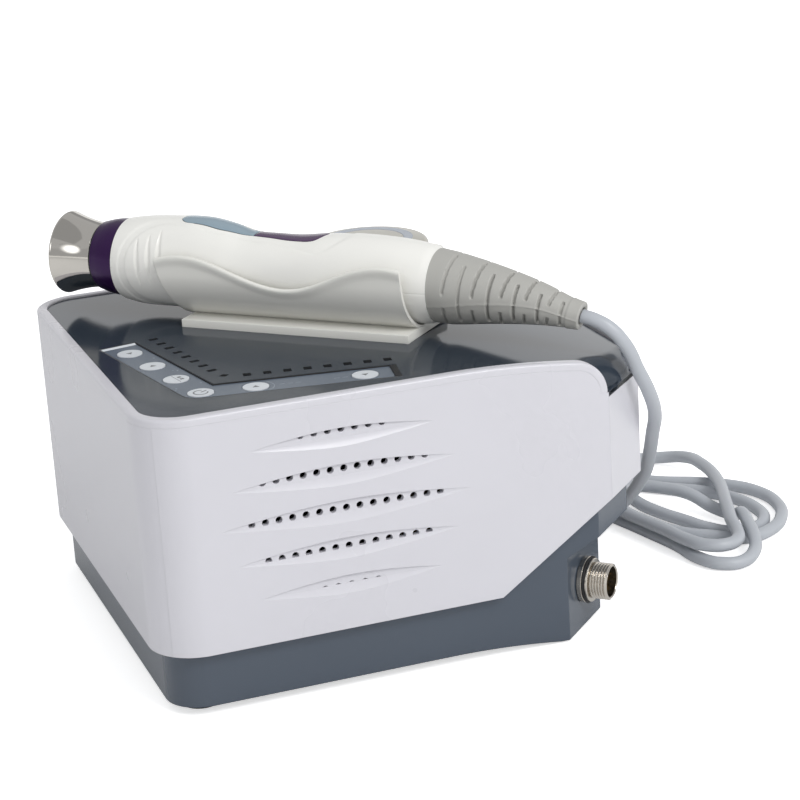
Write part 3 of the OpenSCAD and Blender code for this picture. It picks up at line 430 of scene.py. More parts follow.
def plain(name: str, colour: Colour, rough: float, **more: object) -> Finish:
    """Finish whose tone and gloss change a little around one value.

    Args:
        name: slot name.
        colour: middle colour in linear light.
        rough: middle roughness.
        more: other fields of the finish.

    Returns:
        The finish.
    """
    dark = tuple(channel * (1 - TONE_SPREAD) for channel in colour)
    light = tuple(min(channel * (1 + TONE_SPREAD), 1.0) for channel in colour)
    return Finish(name, dark, light, (rough * (1 - GLOSS_SPREAD), rough * (1 + GLOSS_SPREAD)), **more)


FINISHES = {finish.name: finish for finish in (
    plain("white_shell", srgb(207, 206, 212), 0.28, grain=1400.0, depth=0.000012, edge=0.0004, coat=0.1),
    plain("base_grey", srgb(71, 80, 92), 0.2, grain=1300.0, depth=0.000012, edge=0.0011, coat=0.15),
    plain("top_grey", srgb(49, 57, 67), 0.12, grain=240.0, depth=0.000006, edge=0.0007, index=1.36),
    plain("overlay_grey", srgb(106, 115, 127), 0.22, grain=900.0, depth=0.00001, edge=0.0003, index=1.38),
    plain("key_white", srgb(214, 218, 223), 0.32, grain=1600.0, depth=0.00001, edge=0.0004, coat=0.2),
    plain("light_dark", srgb(24, 25, 27), 0.5, edge=0.0002, index=1.1),
    plain("light_red", srgb(150, 30, 26), 0.2, edge=0.0003, coat=0.4),
    plain("rubber_black", srgb(26, 26, 28), 0.62, grain=1500.0, depth=0.00004, edge=0.0005),
    plain("nickel", srgb(196, 190, 181), 0.2, grain=2200.0, depth=0.000012, edge=0.0002, metallic=1.0),
    plain("contact_gold", srgb(214, 178, 106), 0.24, edge=0.0002, metallic=1.0),
    plain("black_plastic", srgb(30, 31, 33), 0.42, grain=1500.0, depth=0.00003, edge=0.0005),
    plain("rocker_red", srgb(160, 30, 28), 0.25, edge=0.0005, coat=0.3),
    Finish("board_green", srgb(24, 74, 48), srgb(84, 134, 88), (0.3, 0.4), edge=0.0002,
           surface=Surface.BOARD),
    plain("heat_aluminium", srgb(176, 178, 180), 0.36, grain=700.0, depth=0.00003, metallic=1.0),
    plain("copper_tape", srgb(196, 138, 74), 0.35, grain=260.0, depth=0.00015, metallic=0.7),
    plain("cradle_white", srgb(230, 229, 223), 0.33, grain=1500.0, depth=0.000014, edge=0.0004, coat=0.1),
    plain("handle_white", srgb(239, 238, 233), 0.36, grain=1500.0, depth=0.000016, edge=0.0003, coat=0.1),
    plain("bell_chrome", srgb(206, 202, 195), 0.07, grain=60.0, depth=0.00001, edge=0.0004, metallic=1.0),
    plain("insulator_beige", srgb(198, 190, 174), 0.4, edge=0.0003),
    plain("mount_grey", srgb(122, 124, 126), 0.45, edge=0.0003),
    plain("collar_purple", srgb(48, 7, 70), 0.3, grain=1800.0, depth=0.000012, edge=0.0004, metallic=0.5,
          coat=0.05),
    plain("button_blue", srgb(139, 158, 170), 0.22, edge=0.0003, coat=0.15),
    plain("window_purple", srgb(74, 50, 84), 0.22, edge=0.0003, coat=0.15),
    plain("relief_grey", srgb(172, 171, 166), 0.52, grain=1700.0, depth=0.00003, edge=0.0002),
    plain("cord_grey", srgb(178, 182, 188), 0.38, grain=1200.0, depth=0.00002, edge=0.0002, coat=0.05),
    plain("spare_beige", srgb(173, 170, 160), 0.3, grain=1400.0, depth=0.000012, edge=0.0004, coat=0.15),
    plain("spare_ring_grey", srgb(150, 158, 170), 0.26, edge=0.0003, coat=0.2),
    plain("plug_black", srgb(44, 45, 48), 0.48, grain=1500.0, depth=0.00003, edge=0.0004),
)}


# ---------------- mesh building

def to_scene(name: str, data: bpy.types.ID) -> bpy.types.Object:
    """Makes an object of a mesh, curve, camera or lamp, and links it to the scene.

    Args:
        name: the object's name.
        data: what it shows.

    Returns:
        The object.
    """
    made = bpy.data.objects.new(name, data)
    bpy.context.scene.collection.objects.link(made)
    return made


class Sketch:
    """Vertices and faces of one piece in millimetres, which become an object at the end."""

    def __init__(self) -> None:
        """Starts empty."""
        self.points: Ring = []
        self.faces: list[tuple[int, ...]] = []

    def put(self, points: Iterable[Vector]) -> int:
        """Adds points.

        Args:
            points: the points.

        Returns:
            The first one's number.
        """
        start = len(self.points)
        self.points.extend(Vector(p) for p in points)
        return start

    def loft(self, rings: Sequence[Ring], capped: bool = True, looped: bool = False) -> None:
        """Joins closed rings of as many points each.

        Args:
            rings: the rings in order.
            capped: whether the ends are closed.
            looped: whether the last ring joins the first.
        """
        size = len(rings[0])
        start = self.put(p for ring in rings for p in ring)
        count = len(rings)
        for i in range(count if looped else count - 1):
            low, high = start + i * size, start + (i + 1) % count * size
            for j in range(size):
                k = (j + 1) % size
                self.faces.append((low + j, low + k, high + k, high + j))
        if capped and not looped:
            self.faces.append(tuple(start + j for j in reversed(range(size))))
            self.faces.append(tuple(start + (count - 1) * size + j for j in range(size)))

    def lathe(self, profile: Sequence[Flat], place: Matrix, turns: int = 96) -> None:
        """Turns a closed profile about the placed Z axis.

        Args:
            profile: radius and height of each point.
            place: where the axis lies.
            turns: how many profiles go round.
        """
        rings = []
        for i in range(turns):
            angle = 2 * math.pi * i / turns
            rings.append([place @ Vector((r * math.cos(angle), r * math.sin(angle), z)) for r, z in profile])
        self.loft(rings, looped=True)

    def prism(self, outline: Sequence[Flat], low: float, high: float, place: Matrix) -> None:
        """Draws a flat outline out between two heights."""
        self.loft([[place @ Vector((x, y, z)) for x, y in outline] for z in (low, high)])

    def shell(self, outer: Sequence[Ring], inner: Sequence[Ring], keep: Callable[[int, int], bool]) -> None:
        """Two matching grids as the faces of one wall, closed round its edges and holes.

        Args:
            outer: rows of points of the outer face.
            inner: rows of points of the inner face.
            keep: whether the cell at a row and column is there.
        """
        rows, columns = len(outer), len(outer[0])
        first = self.put(p for row in outer for p in row)
        second = self.put(p for row in inner for p in row)
        kept = [[keep(i, j) for j in range(columns - 1)] for i in range(rows - 1)]

        def there(i: int, j: int) -> bool:
            """Whether a cell exists and is kept."""
            return 0 <= i < rows - 1 and 0 <= j < columns - 1 and kept[i][j]
        for i in range(rows - 1):
            for j in range(columns - 1):
                if not kept[i][j]:
                    continue
                cell = i * columns + j
                corner = [cell, cell + 1, cell + columns + 1, cell + columns]
                self.faces.append(tuple(first + c for c in corner))
                self.faces.append(tuple(second + c for c in reversed(corner)))
                sides = ((there(i - 1, j), 0, 1), (there(i, j + 1), 1, 2), (there(i + 1, j), 2, 3),
                         (there(i, j - 1), 3, 0))
                for beside, a, b in sides:
                    if not beside:
                        self.faces.append((first + corner[b], first + corner[a], second + corner[a],
                                           second + corner[b]))

    def cut_sheet(self, outline: Sequence[Flat], holes: Sequence[Sequence[Flat]],
                  lines: Sequence[Sequence[Flat]], extra: Sequence[Flat],
                  front: Callable[[float, float], Vector], back: Callable[[float, float], Vector],
                  paths: Sequence[Sequence[Flat]] = ()) -> None:
        """A wall drawn flat: an outline with holes, bent by its front and back functions.

        Args:
            outline: closed outer edge.
            holes: closed edges of the holes.
            lines: closed loops that the mesh follows without a hole.
            extra: free points that carry the bent shape.
            front: place of a flat point on the outer face.
            back: place of a flat point on the inner face.
            paths: open lines that the mesh follows.
        """
        flats: list[Vector] = []
        edges: list[tuple[int, int]] = []
        for loop in (outline, *holes, *lines):
            start = len(flats)
            flats.extend(Vector(p) for p in loop)
            edges.extend((start + i, start + (i + 1) % len(loop)) for i in range(len(loop)))
        for path in paths:
            start = len(flats)
            flats.extend(Vector(p) for p in path)
            edges.extend((start + i, start + i + 1) for i in range(len(path) - 1))
        flats.extend(Vector(p) for p in extra)
        found = delaunay_2d_cdt(flats, edges, [], 0, 1e-5, False)
        spots, triangles = found[0], found[2]
        boxes = [(min(x for x, _ in h), max(x for x, _ in h), min(y for _, y in h), max(y for _, y in h), h)
                 for h in holes]
        kept = []
        for triangle in triangles:
            x = sum(spots[k].x for k in triangle) / len(triangle)
            y = sum(spots[k].y for k in triangle) / len(triangle)
            if not inside(outline, x, y):
                continue
            if any(x0 < x < x1 and y0 < y < y1 and inside(h, x, y) for x0, x1, y0, y1, h in boxes):
                continue
            kept.append(tuple(triangle))
        first = self.put(front(p.x, p.y) for p in spots)
        second = self.put(back(p.x, p.y) for p in spots)
        directed = set()
        for triangle in kept:
            self.faces.append(tuple(first + k for k in triangle))
            self.faces.append(tuple(second + k for k in reversed(triangle)))
            for i, k in enumerate(triangle):
                directed.add((k, triangle[(i + 1) % len(triangle)]))
        for a, b in directed:
            if (b, a) not in directed:
                self.faces.append((first + b, first + a, second + a, second + b))

    def build(self, name: str, slot: str, body: str, replaces: Sequence[str] = (),
              crease: float = 32.0) -> bpy.types.Object:
        """Turns the sketch into a shaded object that rides on a body.

        Args:
            name: the piece's name.
            slot: the finish.
            body: the body it moves with.
            replaces: CAD nodes that it stands for.
            crease: angle above which an edge stays sharp, in degrees.

        Returns:
            The object.
        """
        mesh = bpy.data.meshes.new(name)
        mesh.from_pydata([(p - CORNER) * MM for p in self.points], [], self.faces)
        work = bmesh.new()
        work.from_mesh(mesh)
        bmesh.ops.remove_doubles(work, verts=work.verts, dist=SAME_POINT)
        loose = [v for v in work.verts if not v.link_faces]
        bmesh.ops.delete(work, geom=loose, context="VERTS")
        bmesh.ops.recalc_face_normals(work, faces=work.faces)
        work.to_mesh(mesh)
        work.free()
        mesh.shade_smooth()
        mesh.set_sharp_from_angle(angle=math.radians(crease))
        piece = to_scene(name, mesh)
        mesh.materials.append(FINISHES[slot].material())
        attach(piece, body)
        if replaces:
            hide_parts(*replaces)
        LOG.info("%s: %d faces on %s", name, len(mesh.polygons), body)
        return piece


# ---------------- console

@dataclass(frozen=True)
class Vent:
    """One lens-shaped scoop of a side panel, about the straight line between its tips."""

    x: float
    z: float
    half: float
    tall: float
    recess: float
    ledge: float
    row: float
    most: int
    above: float = 0.48
    high_flatness: float = 0.8
    low_flatness: float = 0.37
    bend: float = 1.0
    lip: float = 0.05
    foot_lip: float = 0.12

    def bow(self, x: float, flatness: float) -> float:
        """Share of the full height that an edge has at x."""
        reach = min(abs(x - self.x) / self.half, 1.0)
        return 1 - (math.hypot(reach, flatness) - flatness) / (math.hypot(1, flatness) - flatness)

    def high(self, x: float) -> float:
        """Height of the upper edge over the tips' line."""
        return self.above * self.tall * self.bow(x, self.high_flatness)

    def low(self, x: float) -> float:
        """Depth of the lower edge below the tips' line."""
        return (1 - self.above) * self.tall * self.bow(x, self.low_flatness)

    def foot(self, x: float) -> float:
        """Height of the line where the ramp meets the floor, over the tips' line."""
        return self.ledge * self.bow(x, self.high_flatness)

    def depth(self, x: float, z: float) -> float:
        """How far the outer face is scooped in: a ramp up to the foot line, a floor above it.

        Args:
            x: place along the panel.
            z: height.

        Returns:
            The depth, 0 outside the scoop.
        """
        thinnest, slack = 0.02, 0.004
        up = z - self.z
        high, low = self.high(x), self.low(x)
        if high < thinnest or up > high - self.lip or up < slack - low:
            return 0.0
        foot = self.foot(x)
        deep = self.recess * (foot + low) / (self.ledge + (1 - self.above) * self.tall)
        if up >= foot:
            return deep
        return deep * math.sin(self.bend * (up + low) / (foot + low)) / math.sin(self.bend)

    def spread(self) -> list[float]:
        """Places along the vent, closer together at its tips."""
        return [self.x + self.half * math.sin(math.radians(a)) for a in steps(-90, 90, 64)]

    def outline(self) -> list[Flat]:
        """Closed edge of the scoop."""
        xs = self.spread()
        return [(x, self.z - self.low(x)) for x in xs] + [(x, self.z + self.high(x)) for x in xs[-2:0:-1]]

    def paths(self) -> list[list[Flat]]:
        """Lines that the scoop's mesh follows.

        Returns:
            The ramp's foot line and the foot of the upper edge.
        """
        xs = self.spread()
        wide = [x for x in xs if self.high(x) > 0.4]
        return [[(x, self.z + self.foot(x)) for x in xs],
                [(x, self.z + self.high(x) - self.foot_lip) for x in wide]]

    def extra(self) -> list[Flat]:
        """Free points that carry the ramp and the shallow ends of the floor.

        Returns:
            The points.
        """
        points = []
        for x in self.spread()[1:-1]:
            low, high = self.low(x), self.high(x)
            shares = (0.06, 0.14, 0.25, 0.38, 0.52, 0.68, 0.84) if low > 1 else (0.3, 0.6)
            foot = self.foot(x)
            points += [(x, self.z + mix(-low, foot, share)) for share in shares if low > 0.2]
            points += [(x, self.z + high * share) for share in (0.3, 0.6) if 0.3 < high < 1.3]
        return points


@dataclass
class Console:
    """White panels, rim and grey top of the console."""

    length: float = 267.0
    width: float = 250.0
    height: float = 154.0
    corner: float = 25.0
    facet: float = 30.0
    wall: float = 3.0
    skirt: float = 34.0
    slant_run: float = 61.0
    slant_rise: float = 41.5
    rim: float = 5.6
    rim_height: float = 4.0
    fall_radius: float = 480.0
    fall_start: float = 155.0
    shoulder: float = 18.0
    sink: float = 1.0
    top_wall: float = 2.5
    gap: float = 0.2
    vent_x: float = 98.0
    vent_z: float = 95.0
    vent_pitch: float = 18.8
    vent_length: float = 130.0
    vent_shorter: Flat = (15.0, 6.0)
    vent_height: float = 11.5
    hole: float = 1.75
    hole_pitch: float = 6.85
    hole_rows: float = 6.85
    vent_rows: tuple = ((-0.2, -1.2, 2), (-1.0, 0.3, 9), (-1.0, 1.1, 9), (-1.0, 2.4, 9), (-1.0, 3.6, 3))
    recess: float = 1.75
    vent_back: float = 4.4
    hole_share: float = 0.77
    roll_side: float = 18.0
    roll_rear: float = 14.0
    rim_round: Flat = (1.5, 0.5)
    rim_step: float = 0.5
    strip_step: float = 0.06

    def __post_init__(self) -> None:
        """Works out the shoulder."""
        self.facet_x = self.length - self.facet
        self.shoulder_x = self.facet_x - self.shoulder
        reach = self.fall_radius - self.shoulder
        run = self.shoulder_x - self.fall_start
        self.shoulder_z = self.height - self.fall_radius + math.sqrt(reach ** 2 - run ** 2)
        self.shoulder_angle = math.degrees(math.acos(run / reach))
        self.flat = self.height - self.sink

    def fall(self, x: float, down: float) -> float:
        """Height of the top in its side view.

        Args:
            x: distance from the front.
            down: how far below the rim's top the surface lies.

        Returns:
            The height.
        """
        if x <= self.fall_start:
            return self.height - down
        reach = self.fall_radius - down
        return self.height - self.fall_radius + math.sqrt(reach ** 2 - (x - self.fall_start) ** 2)

    def rim_path(self) -> list[tuple[Vector, Vector, Vector]]:
        """Points along the rim's outer edge, each with its inward and its upward direction.

        Returns:
            The points, from the near rear end round the front to the far rear end.
        """
        side, level = Vector((0, 1, 0)), Vector((0, 0, 1))

        def bow(middle: tuple, radius: float, angles: list[float]) -> list[tuple[Vector, Vector, Vector]]:
            """Points of an arc in the side view, by angles in degrees."""
            ways = [Vector((math.cos(math.radians(a)), 0, math.sin(math.radians(a)))) for a in angles]
            return [(Vector(middle) + radius * way, side, way) for way in ways]
        near = bow((self.shoulder_x, 0, self.shoulder_z), self.shoulder, steps(0, self.shoulder_angle, 24))
        near += bow((self.fall_start, 0, self.height - self.fall_radius), self.fall_radius,
                    steps(self.shoulder_angle, 90, 24)[1:])
        near += [(Vector((x, 0, self.height)), side, level)
                 for x in steps(self.fall_start, self.corner, 6)[1:]]
        for a in steps(270, 180, 20)[1:]:
            out = Vector((math.cos(math.radians(a)), math.sin(math.radians(a)), 0))
            near.append((Vector((self.corner, self.corner, self.height)) + self.corner * out, -out, level))
        near += [(Vector((0, y, self.height)), Vector((1, 0, 0)), level)
                 for y in steps(self.corner, self.width / 2, 5)[1:]]
        far = [(Vector((p.x, self.width - p.y, p.z)), Vector((n.x, -n.y, n.z)), up)
               for p, n, up in near[:-1]]
        return near + far[::-1]

    def rim_piece(self) -> None:
        """White rim with a rounded outer edge, round the front and over both shoulders."""
        round_out, round_in = self.rim_round
        inner, step = self.wall + self.gap, self.rim_height - self.rim_step
        section = [(0.0, self.rim_height)]
        section += [(round_out - round_out * math.sin(a), round_out - round_out * math.cos(a))
                    for a in steps(math.pi / 2, 0, 7)]
        section += [(self.rim - round_in + round_in * math.sin(a), round_in - round_in * math.cos(a))
                    for a in steps(0, math.pi / 2, 4)]
        section += [(self.rim, step), (inner, step), (inner, self.rim_height)]
        sketch = Sketch()
        sketch.loft([[p + n * a - up * b for a, b in section] for p, n, up in self.rim_path()])
        sketch.build("rim", "white_shell", ROOT, ["top_bezel"], crease=50)

    def top_outline(self) -> list[Flat]:
        """Edge of the grey top, seen from above.

        Returns:
            The closed outline.
        """
        edge = self.rim + self.gap
        rear = self.wall + self.gap
        tail = self.facet_x + self.gap
        radius = self.corner - edge
        cut = self.facet - rear
        half = arc((self.corner, self.corner), radius, 180, 270, 14)
        half += [(x, edge) for x in steps(self.corner, tail, 30)[1:]]
        half += [(tail, self.gap)] + [(self.facet_x + t, t) for t in steps(1.0, cut, 4)]
        half[-1] = (self.length - rear, cut)
        far = [(x, self.width - y) for x, y in half]
        return half + far[::-1]

    def top_piece(self, strips: list[Flat], holes: list[list[Flat]], strip_depth: float) -> None:
        """Glossy grey top with its key strips, key holes and light windows.

        Args:
            strips: outline of the recessed key strips.
            holes: holes for the keys and light windows.
            strip_depth: depth of the recess.
        """
        inner = offset_loop(strips, self.strip_step)

        def front(x: float, y: float) -> Vector:
            """Outer face."""
            pressed = inside(inner, x, y) or near_loop(inner, x, y)
            return Vector((x, y, self.top_height(x, y) - (strip_depth if pressed else 0.0)))

        def back(x: float, y: float) -> Vector:
            """Inner face."""
            return Vector((x, y, self.top_height(x, y) - self.top_wall))
        sketch = Sketch()
        sketch.cut_sheet(self.top_outline(), holes, [strips, inner], self.top_points(), front, back)
        sketch.build("top_cover", "top_grey", ROOT, ["top_panel"])

    def top_points(self) -> list[Flat]:
        """Free points that carry the long fall and the rolled corners of the grey top.

        Returns:
            The points.
        """
        outline = self.top_outline()
        ahead, rear_margin, side_margin, clear, closest = 6, 6, 8, 22, 0.25
        points = [(x, y) for x in steps(self.fall_start - ahead, self.length - rear_margin, 20)
                  for y in steps(side_margin, self.width - side_margin, 20)
                  if self.roll_reach(x, y) > clear and self.roll_reach(x, self.width - y) > clear]
        for x, y in self.roll_points():
            for spot in ((x, y), (x, self.width - y)):
                if inside(outline, *spot) and not near_loop(outline, *spot, closest):
                    points.append(spot)
        return points

    def roll_offset(self, along: float) -> float:
        """How far the rolled corner's foot lies inside the cut corner, by the place along it."""
        side, rear = self.rim + self.gap, self.wall + self.gap
        return side * (1 - ease(along / 0.4)) + rear * ease((along - 0.6) / 0.4)

    def roll_reach(self, x: float, y: float) -> float:
        """Distance of a point of the top from the foot of the nearer rolled corner, along X."""
        along = (x + y - self.facet_x) / (2 * self.facet)
        return self.facet_x - x + y - self.roll_offset(along)

    def roll_width(self, along: float) -> float:
        """Width of the rolled corner, by the place along it."""
        return mix(self.roll_side, self.roll_rear, min(max(along, 0.0), 1.0))

    def top_height(self, x: float, y: float) -> float:
        """Height of the grey top: it falls to the rear and rolls down over both cut corners.

        Args:
            x: distance from the front face.
            y: distance from the near side.

        Returns:
            The height.
        """
        high = self.fall(x, self.sink)
        near = min(y, self.width - y)
        along = (x + near - self.facet_x) / (2 * self.facet)
        share = self.roll_reach(x, near) / self.roll_width(along)
        if share >= 1:
            return high
        foot = self.shoulder_z + self.gap
        return foot + (high - foot) * math.sqrt(max(1 - (1 - max(share, 0.0)) ** 2, 0.0))

    def roll_points(self) -> list[Flat]:
        """Points of the near rolled corner, closer together towards its foot.

        Returns:
            The points.
        """
        points = []
        for along in steps(-0.36, 1.16, 60):
            for angle in steps(2, 92, 14):
                reach = self.roll_width(along) * (1 - math.cos(math.radians(angle)))
                total = self.facet_x + 2 * self.facet * along
                difference = self.facet_x - self.roll_offset(along) - reach
                points.append(((total + difference) / 2, (total - difference) / 2))
        return points

    def vents(self) -> list[Vent]:
        """The five vents, from the lowest to the highest.

        Returns:
            The vents.
        """
        made = []
        each, last = self.vent_shorter
        for rank, (ledge, row, most) in zip(range(-2, 3), self.vent_rows):
            length = self.vent_length - each * abs(rank) - last * max(0, abs(rank) - 1)
            tall = self.vent_height * (length / self.vent_length) ** 0.6
            made.append(Vent(self.vent_x, self.vent_z + rank * self.vent_pitch, length / 2, tall, self.recess,
                             ledge, row, most))
        return made

    def side_outline(self, columns: Sequence[float], rows: Sequence[float]) -> list[Flat]:
        """Closed edge of a side panel, unrolled round its front corner.

        Args:
            columns: places along the round corner.
            rows: heights at the front edge.

        Returns:
            The outline.
        """
        start = columns[0]
        top = self.height - self.rim_height
        inner = self.shoulder - self.rim_height
        outline = [(u, self.skirt) for u in columns]
        outline += [(self.facet_x - self.slant_run, self.skirt), (self.facet_x, self.skirt + self.slant_rise),
                    (self.facet_x, self.shoulder_z)]
        outline += arc((self.shoulder_x, self.shoulder_z), inner, 0, self.shoulder_angle, 14)
        outline += [(x, self.fall(x, self.rim_height))
                    for x in steps(self.shoulder_x, self.fall_start, 12)[1:]]
        outline += [(x, top) for x in steps(self.fall_start, self.corner, 12)[1:]]
        outline += [(u, top) for u in columns[-2::-1]]
        return outline + [(start, z) for z in rows[-2:0:-1]]

    def bent(self, u: float, z: float, inward: float, far: bool) -> Vector:
        """Place of an unrolled point on a side panel.

        Args:
            u: distance from the front face, unrolled round the front corner.
            z: height.
            inward: depth under the outer face.
            far: whether it is the far panel.

        Returns:
            The point.
        """
        if u >= self.corner:
            spot = Vector((u, inward, z))
        else:
            angle = (self.corner - u) / self.corner
            reach = self.corner - inward
            spot = Vector((self.corner - reach * math.sin(angle), self.corner - reach * math.cos(angle), z))
        if far:
            spot.y = self.width - spot.y
        return spot

    def side_piece(self, far: bool) -> None:
        """White side panel with five scooped vents, each with its rows of holes.

        Args:
            far: whether it is the far panel.
        """
        columns = steps(self.corner - self.corner * math.pi / 4, self.corner, 10)
        rows = steps(self.skirt, self.height - self.rim_height, 24)
        beside, frame_width = 0.8, 0.4
        vents = self.vents()
        extra = [(u, z) for u in columns[1:-1] for z in rows[1:-1]]
        paths = [[(self.corner, z) for z in rows], [(self.corner + beside, z) for z in rows]]
        holes = []
        for vent in vents:
            extra += vent.extra()
            paths += vent.paths()
            holes += self.vent_holes(vent)

        def depth(x: float, z: float) -> float:
            """How far the outer face is scooped in."""
            return max((vent.depth(x, z) for vent in vents if abs(z - vent.z) < vent.tall), default=0.0)

        def front(x: float, z: float) -> Vector:
            """Outer face."""
            return self.bent(x, z, depth(x, z), far)

        def back(x: float, z: float) -> Vector:
            """Inner face, further in behind the vents."""
            return self.bent(x, z, self.vent_back if depth(x, z) > 0 else self.wall, far)
        edges = [vent.outline() for vent in vents]
        edges += [offset_loop(edge, -frame_width) for edge in edges]
        sketch = Sketch()
        sketch.cut_sheet(self.side_outline(columns, rows), holes, edges, extra, front, back, paths)
        name = "far" if far else "near"
        sketch.build(f"side_{name}", "white_shell", ROOT, [f"side_panel_{name}"], crease=9)

    def vent_holes(self, vent: Vent) -> list[list[Flat]]:
        """Round holes of one vent, cut off at the ramp's foot and at the upper edge.

        Args:
            vent: the vent.

        Returns:
            The closed edges of its holes.
        """
        roof_gap, least_roof, least_height = 0.2, 0.13, 0.35
        count = min(math.floor(self.hole_share * vent.half / self.hole_pitch), vent.most)
        circle = [(self.hole * math.cos(math.radians(a)), self.hole * math.sin(math.radians(a)))
                  for a in range(0, 360, 15)]
        holes = []
        for row in (-1, 0, 1):
            middle = vent.row + row * self.hole_rows
            for i in range(-count, count + 1):
                loop = []
                for across, rise in circle:
                    x = vent.x + i * self.hole_pitch + across
                    roof = max(vent.high(x) - roof_gap, vent.foot(x) + least_roof)
                    loop.append((x, vent.z + min(max(middle + rise, vent.foot(x) + vent.foot_lip), roof)))
                if max(p[1] for p in loop) - min(p[1] for p in loop) > least_height:
                    holes.append(tidy_loop(loop))
        return holes

    def make(self, keypad: "Keypad") -> None:
        """Builds the rim, top and side panels.

        Args:
            keypad: the keypad, whose strips and holes the top has.
        """
        self.rim_piece()
        self.top_piece(keypad.strip_outline(self.gap, keypad.tail), keypad.holes(), keypad.overlay_sink)
        self.side_piece(far=False)
        self.side_piece(far=True)


# ---------------- keypad

class Sign(Enum):
    """Printed sign of a key."""

    POWER = "power"
    MODE = "mode"
    ARROW = "arrow"


@dataclass(frozen=True)
class Key:
    """One key: its node, its flat place, and its sign with the sign's direction in degrees."""

    node: str
    place: Flat
    turn: float
    sign: Sign = Sign.ARROW


@dataclass
class Keypad:
    """Two rows of keys that meet over the front near corner, with their strips, lights and marks."""

    console: Console
    at: float = 41.0
    angle: float = 10.0
    key: float = 13.0
    pitch1: float = 28.0
    pitch2: float = 26.8
    end1: float = 15.5
    end2: float = 14.0
    strip: float = 20.0
    light_off: float = 19.5
    light_pitch: float = 10.0
    light_shift: float = 2.0
    light_size: Flat = (2.4, 4.0)
    # Half sizes of the dark covers, larger than the windows; the extra margin is painted shade of the
    # windows' recesses.
    cover_sizes: tuple[Flat, Flat] = ((1.35, 2.45), (2.0, 2.2))
    cover_layers: tuple[Flat, ...] = ((-0.2, 0.0), (0.02, 0.0), (0.08, 0.1))
    tail: float = 2.6
    lights: int = 8
    overlay: float = 0.5
    overlay_sink: float = 1.2
    key_gap: float = 0.2
    key_proud: float = -0.4
    ink: float = 0.05
    power_turn: float = 31.0
    power_ring: Flat = (3.8, 3.1)
    diamond: float = 2.6
    diamond_off: Flat = (17.3, 19.5)
    specks: tuple = ((14, 6.4, 0.55), (12, 7.6, 0.4), (41, -6.8, 0.5), (43, -5.2, 0.4), (69, -6.6, 0.5),
                     (15, -7.4, 0.4))
    dashes: tuple = (39.5, 43.5, 47.5, 66.5, 70.6, 74.7)
    dash: Flat = (1.3, 0.22)
    bow: Flat = (9.2, 8.8)

    def row(self, number: int, x: float, y: float) -> Flat:
        """Flat place of a point along key row 1 or 2."""
        turn = math.radians(90 + self.angle if number == 1 else -self.angle)
        return (self.at + x * math.cos(turn) - y * math.sin(turn),
                self.at + x * math.sin(turn) + y * math.cos(turn))

    def lengths(self) -> Flat:
        """Lengths of both strips from the corner key."""
        return 3 * self.pitch1 + self.end1, 3 * self.pitch2 + self.end2

    def strip_outline(self, grow: float, tail: float = 0.0) -> list[Flat]:
        """Outline of both strips.

        Args:
            grow: how much larger it is all round.
            tail: how much longer row 2 is at its end.

        Returns:
            The closed outline.
        """
        r = self.strip / 2 + grow
        one, two = self.lengths()
        inner = r / math.cos(math.radians(45 - self.angle)) * math.sqrt(0.5)
        return [*arc((self.at, self.at), r, 270 - self.angle, 180 + self.angle, 6),
                self.row(1, one + grow, r), self.row(1, one + grow, -r), (self.at + inner, self.at + inner),
                self.row(2, two + grow + tail, r), self.row(2, two + grow + tail, -r)]

    def keys(self) -> tuple[Key, ...]:
        """The six keys, first the one at the corner.

        Returns:
            The keys.
        """
        one, two = 90 + self.angle, -self.angle
        return (Key("key_power", (self.at, self.at), self.power_turn, Sign.POWER),
                Key("key_mode", self.row(1, self.pitch1, 0), one, Sign.MODE),
                Key("key_time_up", self.row(1, 2 * self.pitch1, 0), one),
                Key("key_time_down", self.row(1, 3 * self.pitch1, 0), one + 180),
                Key("key_level_down", self.row(2, self.pitch2, 0), two + 90),
                Key("key_level_up", self.row(2, 3 * self.pitch2, 0), two - 90))

    def light_places(self) -> list[tuple[Flat, float]]:
        """Place and direction of each light window, in turn from row 1 and row 2.

        Returns:
            The places.
        """
        places = []
        for i in range(self.lights):
            along = i * self.light_pitch
            places.append((self.row(1, self.pitch1 + along, -self.light_off), 90 + self.angle))
            places.append((self.row(2, self.pitch2 - self.light_shift + along, self.light_off), -self.angle))
        return places

    def holes(self) -> list[list[Flat]]:
        """Holes that the keys and light windows need in the top.

        Returns:
            The closed edges of the holes.
        """
        holes = [arc(key.place, self.key / 2 + self.key_gap, 0, 350, 35) for key in self.keys()]
        half_x, half_y = self.light_size[0] / 2 + 0.1, self.light_size[1] / 2 + 0.1
        for (x, y), angle in self.light_places():
            turn = math.radians(angle)
            holes.append([(x + a * math.cos(turn) - b * math.sin(turn),
                           y + a * math.sin(turn) + b * math.cos(turn))
                          for a, b in block(-half_x, half_x, -half_y, half_y)])
        return holes

    def sign_outlines(self, sign: Sign) -> list[list[Flat]]:
        """Flat outlines of a sign about its key's middle.

        Args:
            sign: which sign.

        Returns:
            Its closed outlines.
        """
        if sign is Sign.POWER:
            out, bore = self.power_ring
            return [arc((0, 0), out, 35, 325, 28) + arc((0, 0), bore, 325, 35, 28),
                    block(0.2, 3.9, -0.4, 0.4)]
        if sign is Sign.MODE:
            return [block(-5.6, 5.6, -0.14, 0.14), block(-2.6, -0.7, -3.4, -1.4), block(0.7, 2.6, -3.4, -1.4)]
        return [[(1.7, 0), (-1.1, 1.7), (-1.1, -1.7)]]

    def print_sign(self, key: Key) -> None:
        """Prints one key's sign.

        Args:
            key: the key.
        """
        top = self.console.flat + self.key_proud
        sketch = Sketch()
        for outline in self.sign_outlines(key.sign):
            sketch.prism(outline, top, top + self.ink, spot_at(key.place, key.turn))
        sketch.build(f"{key.node}_sign", "mount_grey", key.node)

